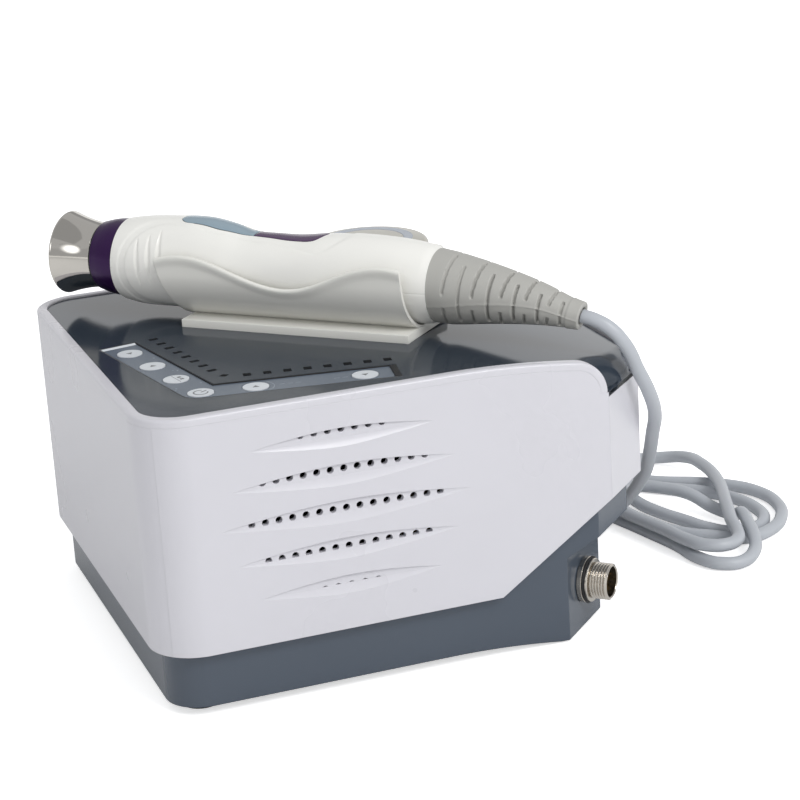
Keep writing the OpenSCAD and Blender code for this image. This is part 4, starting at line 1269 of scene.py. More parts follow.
    def marks(self) -> None:
        """Small printed marks on the strips and the diamond between the light rows."""
        flat, half = self.console.flat, self.diamond
        across, up = self.diamond_off
        diamond = Sketch()
        diamond.prism([(half, 0), (0, half * 0.8), (-half, 0), (0, -half * 0.8)], flat, flat + self.ink,
                      spot_at((self.at + across, self.at + up), 0))
        diamond.build("corner_light_mark", "light_dark", ROOT)
        top = flat - self.overlay_sink + self.overlay
        high = top + self.ink
        marks = Sketch()
        for x, y, size in self.specks:
            marks.prism(arc(self.row(1, x, y), size, 0, 330, 11), top, high, Matrix())
        long, wide = self.dash
        for x in self.dashes:
            marks.prism(block(-long, long, -wide, wide), top, high, spot_at(self.row(2, x, 0), -self.angle))
        middle, (out, bore) = self.row(2, self.pitch2, 0), self.bow
        marks.prism(arc(middle, out, -60, 40, 16) + arc(middle, bore, 40, -60, 16), top, high, Matrix())
        marks.build("strip_marks", "spare_ring_grey", ROOT)

    def seal(self) -> None:
        """Painted shade: a dark band in the gap round the overlay, widened at the end of row 2, stands in for
        the shadow in the gap and at the recess's end; and a light bevel at the end of row 1 that carries a
        painted highlight.
        """
        flat = self.console.flat
        spread, lap, rise, sunk = 0.18, 0.3, 0.02, 0.03
        low, high = flat - self.overlay_sink + rise, flat - sunk
        edges = zip(self.strip_outline(spread, self.tail), self.strip_outline(-lap))
        # Painted shade: this dark band in the black rubber finish is not a real seal. It stands in for the
        # shadow in the gap round the overlay and in the recess beyond row 2's end.
        bead = Sketch()
        bead.loft([[Vector((*a, low)), Vector((*a, high)), Vector((*b, high)), Vector((*b, low))]
                   for a, b in edges], looped=True)
        bead.build("overlay_shade_band", "rubber_black", ROOT, crease=20)
        # Painted highlight: the sloped end of row 1 gets the light key finish instead of the grey overlay.
        # This stands in for the bright line that light makes along that edge.
        margin, bevel_width, bevel_sunk = 0.5, 1.8, 0.1
        last = self.lengths()[0] - margin
        half = self.strip / 2 - margin
        level = flat - self.overlay_sink + self.overlay
        ends = []
        for y in (-half, half):
            toe, heel = self.row(1, last - bevel_width, y), self.row(1, last, y)
            ends.append([Vector((*toe, level)), Vector((*heel, level)), Vector((*heel, flat - bevel_sunk))])
        bevel = Sketch()
        bevel.loft(ends)
        bevel.build("overlay_highlight_bevel", "key_white", ROOT, crease=20)

    def light_covers_and_shade(self) -> None:
        """Dark covers a little proud over the light windows, larger than the windows: the dark margin round
        each window is painted shade from the window's recess.
        """
        covers = Sketch()
        for i, (place, angle) in enumerate(self.light_places()):
            along, across = self.cover_sizes[i % 2]
            spot = spot_at(place, angle)
            rings = []
            for rise, inset in self.cover_layers:
                a, b, z = along - inset, across - inset, self.console.flat + rise
                rings.append([spot @ Vector((*corner, z)) for corner in block(-a, a, -b, b)])
            covers.loft(rings)
        covers.build("light_covers_and_shade", "light_dark", ROOT, crease=20)

    def make(self) -> None:
        """Builds the printed signs and marks, the dark band of painted shade round the overlay, the bevel
        with its painted highlight, and the light covers with their margins of painted shade.
        """
        for key in self.keys():
            self.print_sign(key)
        self.marks()
        self.seal()
        self.light_covers_and_shade()


# ---------------- cradle and handpiece

@dataclass
class Cradle:
    """Trough that carries the handpiece across the top."""

    console: Console
    at: float = 126.5
    radius: float = 24.7
    wall: float = 2.0
    bead: float = 0.8
    front: float = 78.0
    rear: float = 64.0
    rake: float = 11.0
    rear_rake: float = 2.0
    lift: float = 4.2
    wave_mid: float = 32.2
    wave: float = 7.3
    wave_half: float = 58.0
    wave_shift: float = 4.5
    bead_reach: float = 5.0
    plinth: float = 4.5
    plinth_in: float = 2.2
    plinth_front: float = 1.4
    plinth_rear: float = 2.0
    plinth_layers: tuple[Flat, ...] = ((0.0, 0.0), (0.45, 0.2), (0.7, 0.7))

    def __post_init__(self) -> None:
        """Works out heights and the placing."""
        self.floor = self.console.flat + self.lift
        self.axis = self.floor + self.radius
        self.place = spot_at((self.at, self.at), -45)

    def edge(self, s: float) -> float:
        """Height of the waved edge."""
        phase = math.pi * (s + self.wave_shift) / self.wave_half
        return self.console.flat + self.wave_mid - self.wave * math.cos(phase)

    def side(self, radius: float, height: float, bead: float) -> list[Flat]:
        """Points of one wall's face, from the bottom up to its edge.

        Args:
            radius: the face's radius.
            height: height of the edge.
            bead: how far the face swells out towards the edge.

        Returns:
            The points.
        """
        over = height - self.axis
        round_part = radius * (math.pi / 2 + math.asin(max(min(over / radius, 0.0), -1.0)))
        total = round_part + max(over, 0.0)
        points = []
        for path in steps(0, total, 40):
            wide = radius + bead * ease(1 - (total - path) / self.bead_reach)
            angle = min(path, round_part) / radius - math.pi / 2
            points.append((wide * math.cos(angle),
                           self.axis + wide * math.sin(angle) + max(path - round_part, 0.0)))
        return points

    def section(self, top: float) -> list[Flat]:
        """Closed section of the trough: outer wall, round lip and inner wall, on both sides.

        Args:
            top: height of the edge.

        Returns:
            The section.
        """
        lip = (self.wall + self.bead) / 2
        outer = self.side(self.radius + self.wall, top - lip, self.bead)
        inner = self.side(self.radius, top - lip, 0.0)
        a, b = outer[-1], inner[-1]
        middle = ((a[0] + b[0]) / 2, (a[1] + b[1]) / 2)
        tilt = math.degrees(math.atan2(a[1] - b[1], a[0] - b[0]))
        right = outer + arc(middle, lip, tilt, tilt + 180, 8)[1:-1] + inner[::-1]
        left = [(-x, z) for x, z in right]
        return right + left[-2:0:-1]

    def trough_rings(self) -> list[Ring]:
        """Sections of the trough from its raked front end to its rear end.

        Returns:
            The placed sections.
        """
        flat, over_axis = self.console.flat, 4
        reach = self.axis + over_axis - flat
        rings = []
        for q in steps(0, 1, 96):
            ring = []
            for y, z in self.section(self.edge(mix(-self.front, self.rear, q))):
                low = 1 - min(max((z - flat) / reach, 0), 1)
                start, end = -self.front + self.rake * low, self.rear + self.rear_rake * low
                ring.append(self.place @ Vector((mix(start, end, q), y, z)))
            rings.append(ring)
        return rings

    def plinth_rings(self) -> list[Ring]:
        """Outlines of the plinth from the top panel up, the last one inside the trough.

        Returns:
            The placed outlines.
        """
        half = self.radius + self.wall - self.plinth_in
        corners = block(-self.front + self.rake + self.plinth_front, self.rear + self.plinth_rear,
                        -half, half)
        low, rounding = self.console.flat, self.plinth_layers[-1][0]
        high = low + self.plinth - rounding
        rings = []
        for z, inset in ((low, 0.0), *((high + rise, inset) for rise, inset in self.plinth_layers)):
            rings.append([self.place @ Vector((x + (inset if x < 0 else -inset),
                                               y + (inset if y < 0 else -inset), z))
                          for x, y in corners])
        rings.append([self.place @ Vector((x * 0.94, y * 0.55, high + rounding)) for x, y in corners])
        return rings

    def make(self) -> None:
        """Builds the trough with its waved, rounded edge and its plinth."""
        sketch = Sketch()
        sketch.loft(self.trough_rings())
        sketch.loft(self.plinth_rings())
        sketch.build("cradle_trough", "cradle_white", ROOT, ["cradle"])


@dataclass(frozen=True)
class Slot:
    """One slot across the strain relief: place, lean, first and last angle from the top, depth."""

    at: float
    lean: float
    low: float
    high: float
    depth: float
    half: float = 0.5
    soft: float = 0.42
    reach: float = 1.6

    def press(self, u: float, side: float, arm: float) -> float:
        """How far the slot presses the surface in.

        Args:
            u: distance from the handle.
            side: angle from the top in degrees.
            arm: length of one degree on the surface.

        Returns:
            The depth there.
        """
        across = abs(u - self.at - self.lean * (side - (self.low + self.high) / 2))
        if across > self.reach:
            return 0.0
        over = max((self.low - side) * arm, (side - self.high) * arm, 0.0)
        return self.depth * (1 - ease((math.hypot(across, over) - self.half) / self.soft))


@dataclass
class Handpiece:
    """Handle shells with their inserts, treatment head, collar and strain relief."""

    cradle: Cradle
    dip: float = 1.4
    seat: float = 22.1
    length: float = 185.0
    front: float = 2.6
    bell: float = 22.3
    neck: float = 17.5
    bell_length: float = 22.3
    seal: float = 3.5
    collar: float = 13.0
    relief_length: float = 77.0
    shell: float = 2.2
    clearance: float = 0.3
    form: tuple = (
        (0, 20.9, 21, 21), (4, 21.8, 22.3, 22.5), (14, 23.4, 23.4, 24), (31, 24.8, 23.5, 24),
        (51, 25.3, 23.5, 23.5), (65, 23.1, 22.8, 23.2), (77, 20, 21.8, 22.9), (92, 19.6, 21.2, 22.5),
        (106, 19.9, 21.2, 22.2), (123, 22, 21.4, 21.8), (141, 23.1, 21.4, 21.4), (164, 22.6, 20.9, 20.8),
        (180, 20.7, 19.8, 20.2), (185, 19, 19, 19.4),
    )
    insert_edge: tuple = (
        (37, 0), (38, 9), (39, 12.5), (41, 16.5), (44, 18.8), (49, 19.2), (55, 20), (62, 21), (67.5, 19),
        (73, 16), (81.5, 13.2), (91.5, 15), (100, 17.8), (108, 20.3), (114.5, 22.5), (118.5, 20),
        (121, 12.5), (122.5, 5), (124, 1),
    )
    insert_start: float = 38.0
    insert_split: float = 81.0
    insert_end: float = 123.0
    insert_least: float = 2.2
    insert_gap: float = 0.95
    insert_taper: float = 3.4
    insert_proud: float = 0.1
    insert_wall: float = 1.4
    front_share: float = 0.6
    arch_at: Flat = (34.0, 86.0)
    arch_half: Flat = (27.0, 78.0)
    arch_reach: float = 29.0
    arch_depth: float = 0.55
    grip_slots: tuple = ((19.6, 78, 33, 1.5), (26.4, 74, 35, 1.6), (32.6, 70, 36, 1.6))
    grip_depth: float = 0.85
    grip_lean: float = 0.046
    crease_depth: float = 0.6
    degree: float = 0.4
    seam_angles: Flat = (0.6, 1.4)
    seam_depth: float = 0.12
    seam_from: float = 145.0
    collar_form: tuple = ((-2.4, 18.5), (0, 19.1), (3, 19.9), (7, 20.6), (13, 21.1))
    crease_line: tuple = (
        (40, 12), (44, 16), (56, 30), (71.5, 26), (84, 27), (96, 31), (108, 38), (118, 46), (122, 47),
        (128, 39), (133.5, 24), (139.5, 3),
    )
    relief_form: tuple = (
        (0, 0, 18.9, 0), (10, 1, 18.3, 2), (32, 2.5, 14.8, 5), (54, 5, 10.9, 8), (72, 8.6, 7.4, 11),
        (77, 9.4, 6.8, 12),
    )
    relief_end: tuple = ((76.9, 0.25), (77, 0.6), (77, 2.4), (76.7, 2.9), (75.5, 3.2))
    relief_collar: Flat = (70.4, 0.45)
    long_slots: tuple = ((9.5, 84, 1.2), (24.6, 82, 1.7), (39.0, 73, 2.0), (51.0, 67, 1.9), (62.3, 64, 1.6))
    side_slots: tuple = ((17.0, 32, 1.2), (32.0, 33, 1.9), (45.0, 41, 2.0), (57.0, 46, 1.9), (68.0, 43, 1.5))
    rib_line: tuple = ((0, 111), (31, 95), (58, 86), (77, 98))
    rib_half: float = 0.42
    rib_proud: float = 0.3

    def __post_init__(self) -> None:
        """Works out the axis and the places along it."""
        self.start = -self.front_share * self.length
        axis = self.cradle.floor + self.clearance + self.seat
        self.place = (self.cradle.place @ Matrix.Translation((0, 0, axis))
                      @ Matrix.Rotation(math.radians(self.dip), 4, "Y"))

    def arch(self, u: float, side: float) -> float:
        """Depth of the arched groove round the grip's slots.

        Args:
            u: distance from the front end.
            side: angle from the top in degrees.

        Returns:
            The depth.
        """
        middle, level = self.arch_at
        fade = 1 - ease((u - middle) / 12)
        rho = math.hypot((u - middle) / self.arch_half[0], (side - level) / self.arch_half[1])
        ring = (rho - 1) * self.arch_reach
        if fade <= 0 or not -8 < ring < 3:
            return 0.0
        groove = ease((ring + 6.2) / 1.6) * (1 - ease((ring + 1.2) / 1.6))
        return self.arch_depth * fade * groove * ease((side - 10) / 16)

    def grip(self, u: float, side: float) -> float:
        """Depth of the grip's three slanted slots.

        Args:
            u: distance from the front end.
            side: angle from the top in degrees.

        Returns:
            The depth.
        """
        total = 0.0
        for middle, centre, half, wide in self.grip_slots:
            along = (side - centre) / half
            if abs(along) >= 1:
                continue
            across = abs(u - middle - self.grip_lean * (side - centre)) / (wide * (1 - along * along) + 0.01)
            if across < 1:
                total += self.grip_depth * (1 - across ** 2) * (1 - along ** 2) ** 0.4
        return total

    def crease(self, u: float, side: float) -> float:
        """Depth of the field above the waved crease, deepest at the crease.

        Args:
            u: distance from the front end.
            side: angle from the top in degrees.

        Returns:
            The depth.
        """
        first, last = self.crease_line[0][0], self.crease_line[-1][0]
        if not first < u < last:
            return 0.0
        line = through(self.crease_line, u, 1)
        slope = (through(self.crease_line, min(u + 1, last - 0.1), 1) - line) * self.degree
        above = (line - side) * self.degree / math.sqrt(1 + slope * slope)
        if above <= 0:
            return 0.0
        strength = self.crease_depth * ease((u - first - 2) / 14) * ease((last - 1 - u) / 5)
        return strength * min(above / 0.5, 1) * math.exp(-above / 4.5)

    def carved(self, u: float, b: float) -> float:
        """How far the handle's skin is pressed in.

        Args:
            u: distance from the front end.
            b: angle from the top in degrees, positive on the near side.

        Returns:
            The depth.
        """
        side = abs(b)
        seam = max(1 - abs(side - 90), 0.0) * ease((u - self.seam_from) / 20)
        return self.arch(u, side) + self.grip(u, side) + self.crease(u, side) + self.seam_depth * seam

    def skin(self, u: float, b: float, inset: float, carve: bool = True) -> Vector:
        """Point of the handle's surface.

        Args:
            u: distance from the front end.
            b: angle from the top in degrees, positive on the near side.
            inset: depth under the surface.
            carve: whether the pressed-in details are there.

        Returns:
            The placed point.
        """
        x = self.start + u
        wide = through(self.form, u, 2)
        if abs(b) <= 90:
            tall = through(self.form, u, 1)
        else:
            tall = min(through(self.form, u, 3), self.seat - x * math.tan(math.radians(self.dip)))
        if carve:
            inset += self.carved(u, b)
        angle = math.radians(b)
        return self.place @ Vector((x, -(wide - inset) * math.sin(angle), (tall - inset) * math.cos(angle)))

    def rows(self) -> list[float]:
        """Distances of the handle's rings, closer together at its front.

        Returns:
            The distances from the front end.
        """
        grip_end, narrowing = 44, self.insert_end - 9
        rows = steps(self.front, grip_end, 92) + steps(grip_end, self.insert_split, 40)[1:]
        rows += steps(self.insert_split, narrowing, 34)[1:] + steps(narrowing, self.insert_end, 22)[1:]
        rows += steps(self.insert_end, self.length, 60)[1:]
        nearest = min(range(len(rows)), key=lambda i: abs(rows[i] - self.insert_start))
        rows[nearest] = self.insert_start
        return rows

    def insert_half(self, u: float) -> float:
        """Half angle of the inserts' opening."""
        first, last = self.insert_edge[0][0], self.insert_edge[-1][0]
        return max(through(self.insert_edge, min(max(u, first), last), 1), self.insert_least)

    def upper_shell(self) -> None:
        """Upper handle shell with the long opening for its inserts."""
        middle_steps, side_steps = 8, 48
        fine, coarse = (90 - angle for angle in self.seam_angles)
        rows = self.rows()

        def angles(u: float) -> list[float]:
            """Angles of one ring, with the opening's edge at a fixed place among them.

            Args:
                u: distance from the front end.

            Returns:
                The angles from the top in degrees.
            """
            edge = self.insert_half(u)
            half = steps(0, edge, middle_steps) + steps(edge, coarse, side_steps - 2)[1:] + [fine, 90]
            return [-b for b in half[:0:-1]] + half
        outer = [[self.skin(u, b, 0) for b in angles(u)] for u in rows]
        inner = [[self.skin(u, b, self.shell, False) for b in angles(u)] for u in rows]
        centre = middle_steps + side_steps

        def keep(i: int, j: int) -> bool:
            """Whether a cell lies outside the inserts' opening.

            Args:
                i: the cell's row.
                j: the cell's column.

            Returns:
                Whether it is there.
            """
            here = (rows[i] + rows[i + 1]) / 2
            within = self.insert_start < here < self.insert_end
            return not (within and centre - middle_steps <= j < centre + middle_steps)
        sketch = Sketch()
        sketch.shell(outer, inner, keep)
        sketch.build("handle_top_shell", "handle_white", HAND, ["handle_upper"], crease=40)

    def lower_shell(self) -> None:
        """Lower handle shell."""
        rows = self.rows()
        fine, coarse = (90 + angle for angle in self.seam_angles)
        half = [90, fine, coarse] + steps(coarse, 180, 46)[1:]
        angles = half + [-b for b in half[-2::-1]]
        outer = [[self.skin(u, b, 0) for b in angles] for u in rows]
        inner = [[self.skin(u, b, self.shell, False) for b in angles] for u in rows]
        sketch = Sketch()
        sketch.shell(outer, inner, lambda i, j: True)
        sketch.build("handle_bottom_shell", "handle_white", HAND, ["handle_lower"], crease=40)

    def insert(self, name: str, slot: str, body: str, ends: Flat, node: str) -> None:
        """One coloured insert that fills its part of the opening, flush with soft edges.

        Args:
            name: the piece's name.
            slot: its finish.
            body: the body it moves with.
            ends: where it starts and ends along the handle.
            node: the CAD node that it stands for.
        """
        end_gap, least, edge_round, end_round = 0.18, 0.6, 0.35, 0.25
        across = [math.sin(math.radians(a)) for a in steps(-90, 90, 26)]
        rows = steps(ends[0] + end_gap, ends[1] - end_gap, 52)
        outer, inner = [], []
        for i, u in enumerate(rows):
            edge = max(self.insert_half(u) - self.insert_gap, least)
            tip = min(min(i, len(rows) - 1 - i) / 2, 1)
            sunk = end_round * (1 - tip) ** 2 - self.insert_proud
            outer.append([self.skin(u, q * edge, edge_round * abs(q) ** 10 + sunk, False) for q in across])
            narrow = max(edge - self.insert_taper, least / 2)
            inner.append([self.skin(u, q * narrow, self.insert_wall, False) for q in across])
        sketch = Sketch()
        sketch.shell(outer, inner, lambda i, j: True)
        sketch.build(name, slot, body, [node], crease=45)

    def head_profile(self) -> list[Flat]:
        """Section of the flared electrode.

        Returns:
            Radius and height of its points.
        """
        rim, mouth, bore, recess, flare = 0.9, 15.0, 6.0, 4, 1.6
        end = self.bell_length
        profile = [(mouth, 0.0)] + arc((self.bell - rim, rim), rim, -90, 0, 8)
        for share in steps(0, 1, 30)[1:]:
            radius = self.neck + (self.bell - self.neck) * (1 - share) ** flare
            profile.append((radius, rim + (end - rim) * share))
        return profile + [(bore, end), (bore, end - recess), (mouth, end - recess)]

    def collar_profile(self) -> list[Flat]:
        """Section of the coloured collar, with its lap over the dark ring.

        Returns:
            Radius and height of its points.
        """
        bore, front, rear = 10.0, (18.1, self.collar_form[0][0]), (20.7, self.collar)
        outer = [(through(self.collar_form, x, 1), x) for x in steps(-2.0, 12.6, 24)]
        return [(bore, front[1]), front, *outer, rear, (bore, rear[1])]

    def seal_profile(self) -> list[Flat]:
        """Section of the dark ring behind the electrode.

        Returns:
            Radius and height of its points.
        """
        bore, inner, rounding, low, high = 10.0, 17.3, 0.6, 0.05, 1.05
        return [(bore, low), (inner, low), *arc((inner, low + rounding), rounding, -90, 0, 5),
                (inner + rounding, high), (bore, high)]

    def head(self) -> None:
        """Polished flared electrode, the coloured collar behind it and the dark ring between them."""
        turn = self.place @ Matrix.Rotation(math.radians(90), 4, "Y")
        collar_start = self.start + self.front - self.collar
        seal_start = collar_start - self.seal
        for name, slot, node, profile, along, turns in (
                ("flared_head", "bell_chrome", "bell_electrode", self.head_profile(),
                 seal_start - self.bell_length, 128),
                ("collar_ring", "collar_purple", "collar", self.collar_profile(), collar_start, 128),
                ("collar_seal", "rubber_black", "seal_ring", self.seal_profile(), seal_start, 96)):
            sketch = Sketch()
            sketch.lathe(profile, turn @ Matrix.Translation((0, 0, along)), turns)
            sketch.build(name, slot, HAND, [node])

    def slots(self) -> list[Slot]:
        """Slots of the strain relief.

        Returns:
            The slots.
        """
        slots = []
        for u, low, depth in self.long_slots:
            slots += [Slot(u, -0.02, 9, low, depth), Slot(u - 0.8, -0.02, 112, 150, depth * 0.9)]
        return slots + [Slot(u, 0.0, high, 138, depth) for u, high, depth in self.side_slots]

    def relief_ring(self, u: float, sides: int, inset: float) -> Ring:
        """One ring of the strain relief, with its slots and its rib.

        Args:
            u: distance from the handle.
            sides: how many points the ring has.
            inset: how much smaller the whole ring is.

        Returns:
            The placed ring.
        """
        drop, radius, tilt = (through(self.relief_form, u, column) for column in (1, 2, 3))
        x = self.start + self.length + u * self.relief_length / self.relief_form[-1][0]
        rib = through(self.rib_line, u, 1)
        collar_at, collar_proud = self.relief_collar
        whole = radius - inset + collar_proud * ease((u - collar_at) / 0.7)
        arm = math.radians(1) * radius
        lean, slots = math.radians(tilt), self.slots()
        ring = []
        for j in range(sides):
            b = 360 * j / sides
            side = b if b <= 180 else 360 - b
            ridge = math.exp(-((side - rib) * arm / self.rib_half) ** 2)
            press = max(slot.press(u, side, arm) for slot in slots)
            r = whole - press * (1 - 0.85 * ridge) + self.rib_proud * ridge
            angle = math.radians(b)
            ring.append(self.place @ Vector((x + r * math.cos(angle) * math.sin(lean), -r * math.sin(angle),
                                             -drop + r * math.cos(angle) * math.cos(lean))))
        return ring

    def relief(self) -> None:
        """Soft ribbed strain relief, with the collar at its end that the cord comes out of."""
        sides, rounded = 150, 0.4
        last = self.relief_form[-1][0] - rounded
        rings = [self.relief_ring(u, sides, 0.0) for u in steps(0, last, 196)]
        rings += [self.relief_ring(u, sides, inset) for u, inset in self.relief_end]
        sketch = Sketch()
        sketch.loft(rings)
        sketch.build("ribbed_relief", "relief_grey", HAND, ["strain_relief"], crease=60)

    def make(self) -> None:
        """Builds the whole handpiece."""
        self.upper_shell()
        self.lower_shell()
        self.insert("blue_insert", "button_blue", "handle_button", (self.insert_start, self.insert_split),
                    "handle_button")
        self.insert("purple_insert", "window_purple", HAND, (self.insert_split, self.insert_end),
                    "handle_window")
        self.head()
        self.relief()


@dataclass
class SpareHead:
    """Second treatment head, face up beside the cradle."""

    cradle: Cradle
    off: float = 61.0
    along: float = 3.5
    radius: float = 33.4
    rise: float = 30.0
    stem: float = 14.0
    ring_in: float = 19.9
    ring_out: float = 25.0
    stand: float = 10.0

    def make(self) -> None:
        """Builds the housing with its rounded lip, and its slightly domed middle."""
        flat = self.cradle.console.flat
        core, lip_round, chamfer, depth, dome_rise = 0.01, 3.6, 0.4, 2, 0.5
        top, foot, waist = flat + self.rise, flat + 0.3, flat + self.stand + 2
        shoulder = (self.radius - 4.4, top - 8.6)
        place = self.cradle.place @ Matrix.Translation((self.along, self.off, 0))
        bottom = [(core, foot), (self.stem - chamfer, foot), (self.stem, foot + chamfer), (self.stem, waist)]
        curve = [(mix(self.stem, shoulder[0], share ** 1.25), mix(waist, shoulder[1], share))
                 for share in steps(0, 1, 16)]
        lip = arc((self.radius - lip_round, top - lip_round - 0.9), lip_round, -48, 82, 18)
        housing = Sketch()
        housing.lathe([*bottom, *curve[1:], *lip, (self.ring_out, top - 0.1), (self.ring_out, top - depth),
                       (core, top - depth)], place, 128)
        housing.build("spare_shell", "spare_beige", SPARE, ["spare_housing"])
        dome = [(r, top + dome_rise - dome_rise * (r / self.ring_in) ** 2)
                for r in steps(self.ring_in - 0.4, core, 16)]
        middle = Sketch()
        middle.lathe([(core, top - depth), (self.ring_in, top - depth), (self.ring_in, top - 0.25), *dome],
                     place, 128)
        middle.build("spare_face", "spare_beige", SPARE, ["spare_center"])


@dataclass
class Connectors:
    """Threaded metal port on the near cut corner."""

    console: Console
    place_x: float = 229.09
    place_y: float = 21.51
    height: float = 26.0
    barrel: float = 9.5
    wall: float = 1.7
    length: float = 15.5
    flange: float = 12.0
    thread_start: float = 6.0
    thread_pitch: float = 1.55
    thread_depth: float = 0.75
    thread_turns: int = 6

    def make(self) -> None:
        """Builds the port's flange, sealing ring and threaded barrel."""
        turn = Matrix.Rotation(math.radians(-45), 4, "Z") @ Matrix.Rotation(math.radians(90), 4, "Y")
        place = Matrix.Translation((self.place_x, self.place_y, self.height)) @ turn
        bore = self.barrel - self.wall
        body = [(bore, -10.0), (self.barrel, -10.0), (self.barrel, 0.0), (self.flange - 0.5, 0.0),
                (self.flange, 0.5), (self.flange, 2.7), (self.flange - 0.5, 3.2), (self.barrel + 0.4, 3.2),
                (self.barrel + 0.4, 4.2), (self.flange - 1.1, 4.2), (self.flange - 0.7, 4.6),
                (self.flange - 0.7, 5.4), (self.flange - 1.1, 5.8)]
        root, crest, land = self.barrel - self.thread_depth, self.barrel - 0.05, 0.2
        for i in range(self.thread_turns):
            z = self.thread_start + i * self.thread_pitch
            top = z + 0.5 * self.thread_pitch
            body += [(root, z), (crest, top - land), (crest, top + land)]
        body += [(root, self.length - 0.3), (self.barrel - 1.0, self.length), (bore + 0.4, self.length),
                 (bore, self.length - 0.5)]
        metal = Sketch()
        metal.lathe(body, place, 112)
        metal.build("port_thread", "nickel", ROOT, ["port_barrel"], crease=28)
        ring = Sketch()
        round_edge = arc((self.flange - 0.3, 3.7), 0.5, -90, 90, 10)
        ring.lathe([(self.barrel + 0.45, 3.22), *round_edge, (self.barrel + 0.45, 4.18)], place, 112)
        ring.build("port_seal", "rubber_black", ROOT, ["port_gasket"])


# ---------------- cord

@dataclass
class Cord:
    """Handpiece's cord: down behind the console, round in loops on the table, to its plug."""

    handpiece: Handpiece
    diameter: float = 7.2
    plug_end: float = 52.1
    length: float = 1.736
    laid: tuple = (
        (104, -109.5, 165), (110, -114, 161), (117, -116.5, 152), (125, -113, 137), (133, -108, 123),
        (141, -98, 107), (146, -84, 91), (152, -67, 74), (158, -47, 55), (160, -4, 20), (158, 17, 9),
        (156, 38, 4), (155, 58, 4), (161, 80, 4), (174, 96, 4), (219, 104, 4), (237, 97, 5), (245, 80, 9),
        (244, 57, 12), (240, 32, 13), (221, -20, 15), (214, -39, 14), (211, -51, 13), (206, -61, 12),
        (197, -65, 12), (188, -61, 12), (182, -49, 12), (178, -29, 12), (169, 14, 12), (169, 29, 12),
        (179, 40, 12), (193, 42, 12), (206, 31, 12), (216, 17, 11), (224, 3, 6), (229, -12, 6),
        (227, -26, 12), (223, -41, 12), (219, -56, 9), (213, -67, 6), (203, -73, 4), (192, -71, 4),
        (185, -60, 4), (182, -34, 4), (176, -5, 4), (167, 42, 4), (169, 63, 4), (181, 79, 4), (199, 78, 4),
        (217, 62, 4), (251, 36, 4), (261, 17, 4), (261, -5, 4), (253, -24, 4), (239, -38, 4), (221, -43, 4),
        (205, -32, 4), (192, -18, 4), (184, 3, 4), (179, 26, 4), (178, 46, 4), (180, 59, 4), (187, 67, 4),
        (198, 67, 4), (208, 58, 4), (218, 48, 4), (232, 35, 4), (243, 17, 4), (247, -6, 4), (243, -22, 4),
        (232, -32, 4), (219, -32, 4), (209, -20, 4), (203, -4, 4), (196, 15, 4), (192, 37, 4), (192, 47, 5),
        (192, 57, 9), (192, 67, 12), (191, 108, 12), (190, 128, 6), (187, 148, 6), (172, 162, 12),
        (151, 158, 21), (139, 147, 26),
    )

    def ends(self) -> tuple[Vector, Vector]:
        """Ends of the cord, from the middle of the footprint.

        Returns:
            Where it leaves the strain relief, and where it enters the plug.
        """
        hand = self.handpiece
        last = hand.relief_form[-1]
        start = hand.place @ Vector((hand.start + hand.length + hand.relief_length, 0, -last[1])) - CORNER
        out = self.plug_end * math.sqrt(0.5)
        port = Connectors(hand.cradle.console)
        width = hand.cradle.console.width
        end = Vector((port.place_x + out, width - port.place_y + out, port.height)) - CORNER
        return start, end

    def make(self) -> None:
        start, end = self.ends()
        route = [start, *(Vector(p) for p in self.laid), end]
        data = bpy.data.curves.new("handpiece_lead", "CURVE")
        data.dimensions = "3D"
        data.resolution_u = 8
        data.bevel_depth = self.diameter / 2 * MM
        data.bevel_resolution = 7
        data.use_fill_caps = True
        spline = data.splines.new("BEZIER")
        spline.bezier_points.add(len(route) - 1)
        for point, spot in zip(spline.bezier_points, route):
            point.co = spot * MM
            point.handle_left_type = "AUTO"
            point.handle_right_type = "AUTO"
        data.materials.append(FINISHES["cord_grey"].material())
        lead = to_scene("handpiece_lead", data)
        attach(lead, ROOT)
        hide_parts("handpiece_cord")
        LOG.info("handpiece_lead: %d points", len(route))


# ---------------- CAD nodes that keep their shape

NODES_BY_FINISH = {
    "white_shell": ("front_panel", "rear_panel", "head_stand", "top_bezel", "side_panel_near",
                    "side_panel_far"),
    "top_grey": ("top_panel",),
    "base_grey": ("base_tray",),
    "cradle_white": ("cradle",),
    "overlay_grey": ("keypad_overlay",),
    "light_dark": ("light_windows",),
    "light_red": ("indicator_lights",),
    "key_white": ("key_power", "key_mode", "key_time_up", "key_time_down", "key_level_down",
                  "key_level_up"),
    "board_green": ("display_board", "main_board", "rf_board", "handle_board"),
    "rubber_black": ("front_feet", "rear_pads", "port_gasket", "socket_gasket", "seal_ring"),
    "nickel": ("foot_screws", "port_barrel", "port_nut", "socket_barrel", "socket_nut", "plug_nut"),
    "black_plastic": ("port_insert", "socket_insert", "mains_inlet", "switch_frame", "fuse_holder",
                      "fuse_cap", "fan_frame"),
    "plug_black": ("fan_rotor", "plug_body"),
    "contact_gold": ("port_pins",),
    "rocker_red": ("power_rocker",),
    "heat_aluminium": ("heat_sink",),
    "copper_tape": ("transformer",),
    "handle_white": ("handle_upper", "handle_lower"),
    "button_blue": ("handle_button",),
    "window_purple": ("handle_window",),
    "collar_purple": ("collar",),
    "bell_chrome": ("bell_electrode", "bell_center"),
    "insulator_beige": ("bell_insulator",),
    "mount_grey": ("head_mount",),
    "relief_grey": ("strain_relief",),
    "cord_grey": ("handpiece_cord",),
    "spare_beige": ("spare_housing", "spare_center"),
    "spare_ring_grey": ("spare_ring",),
}


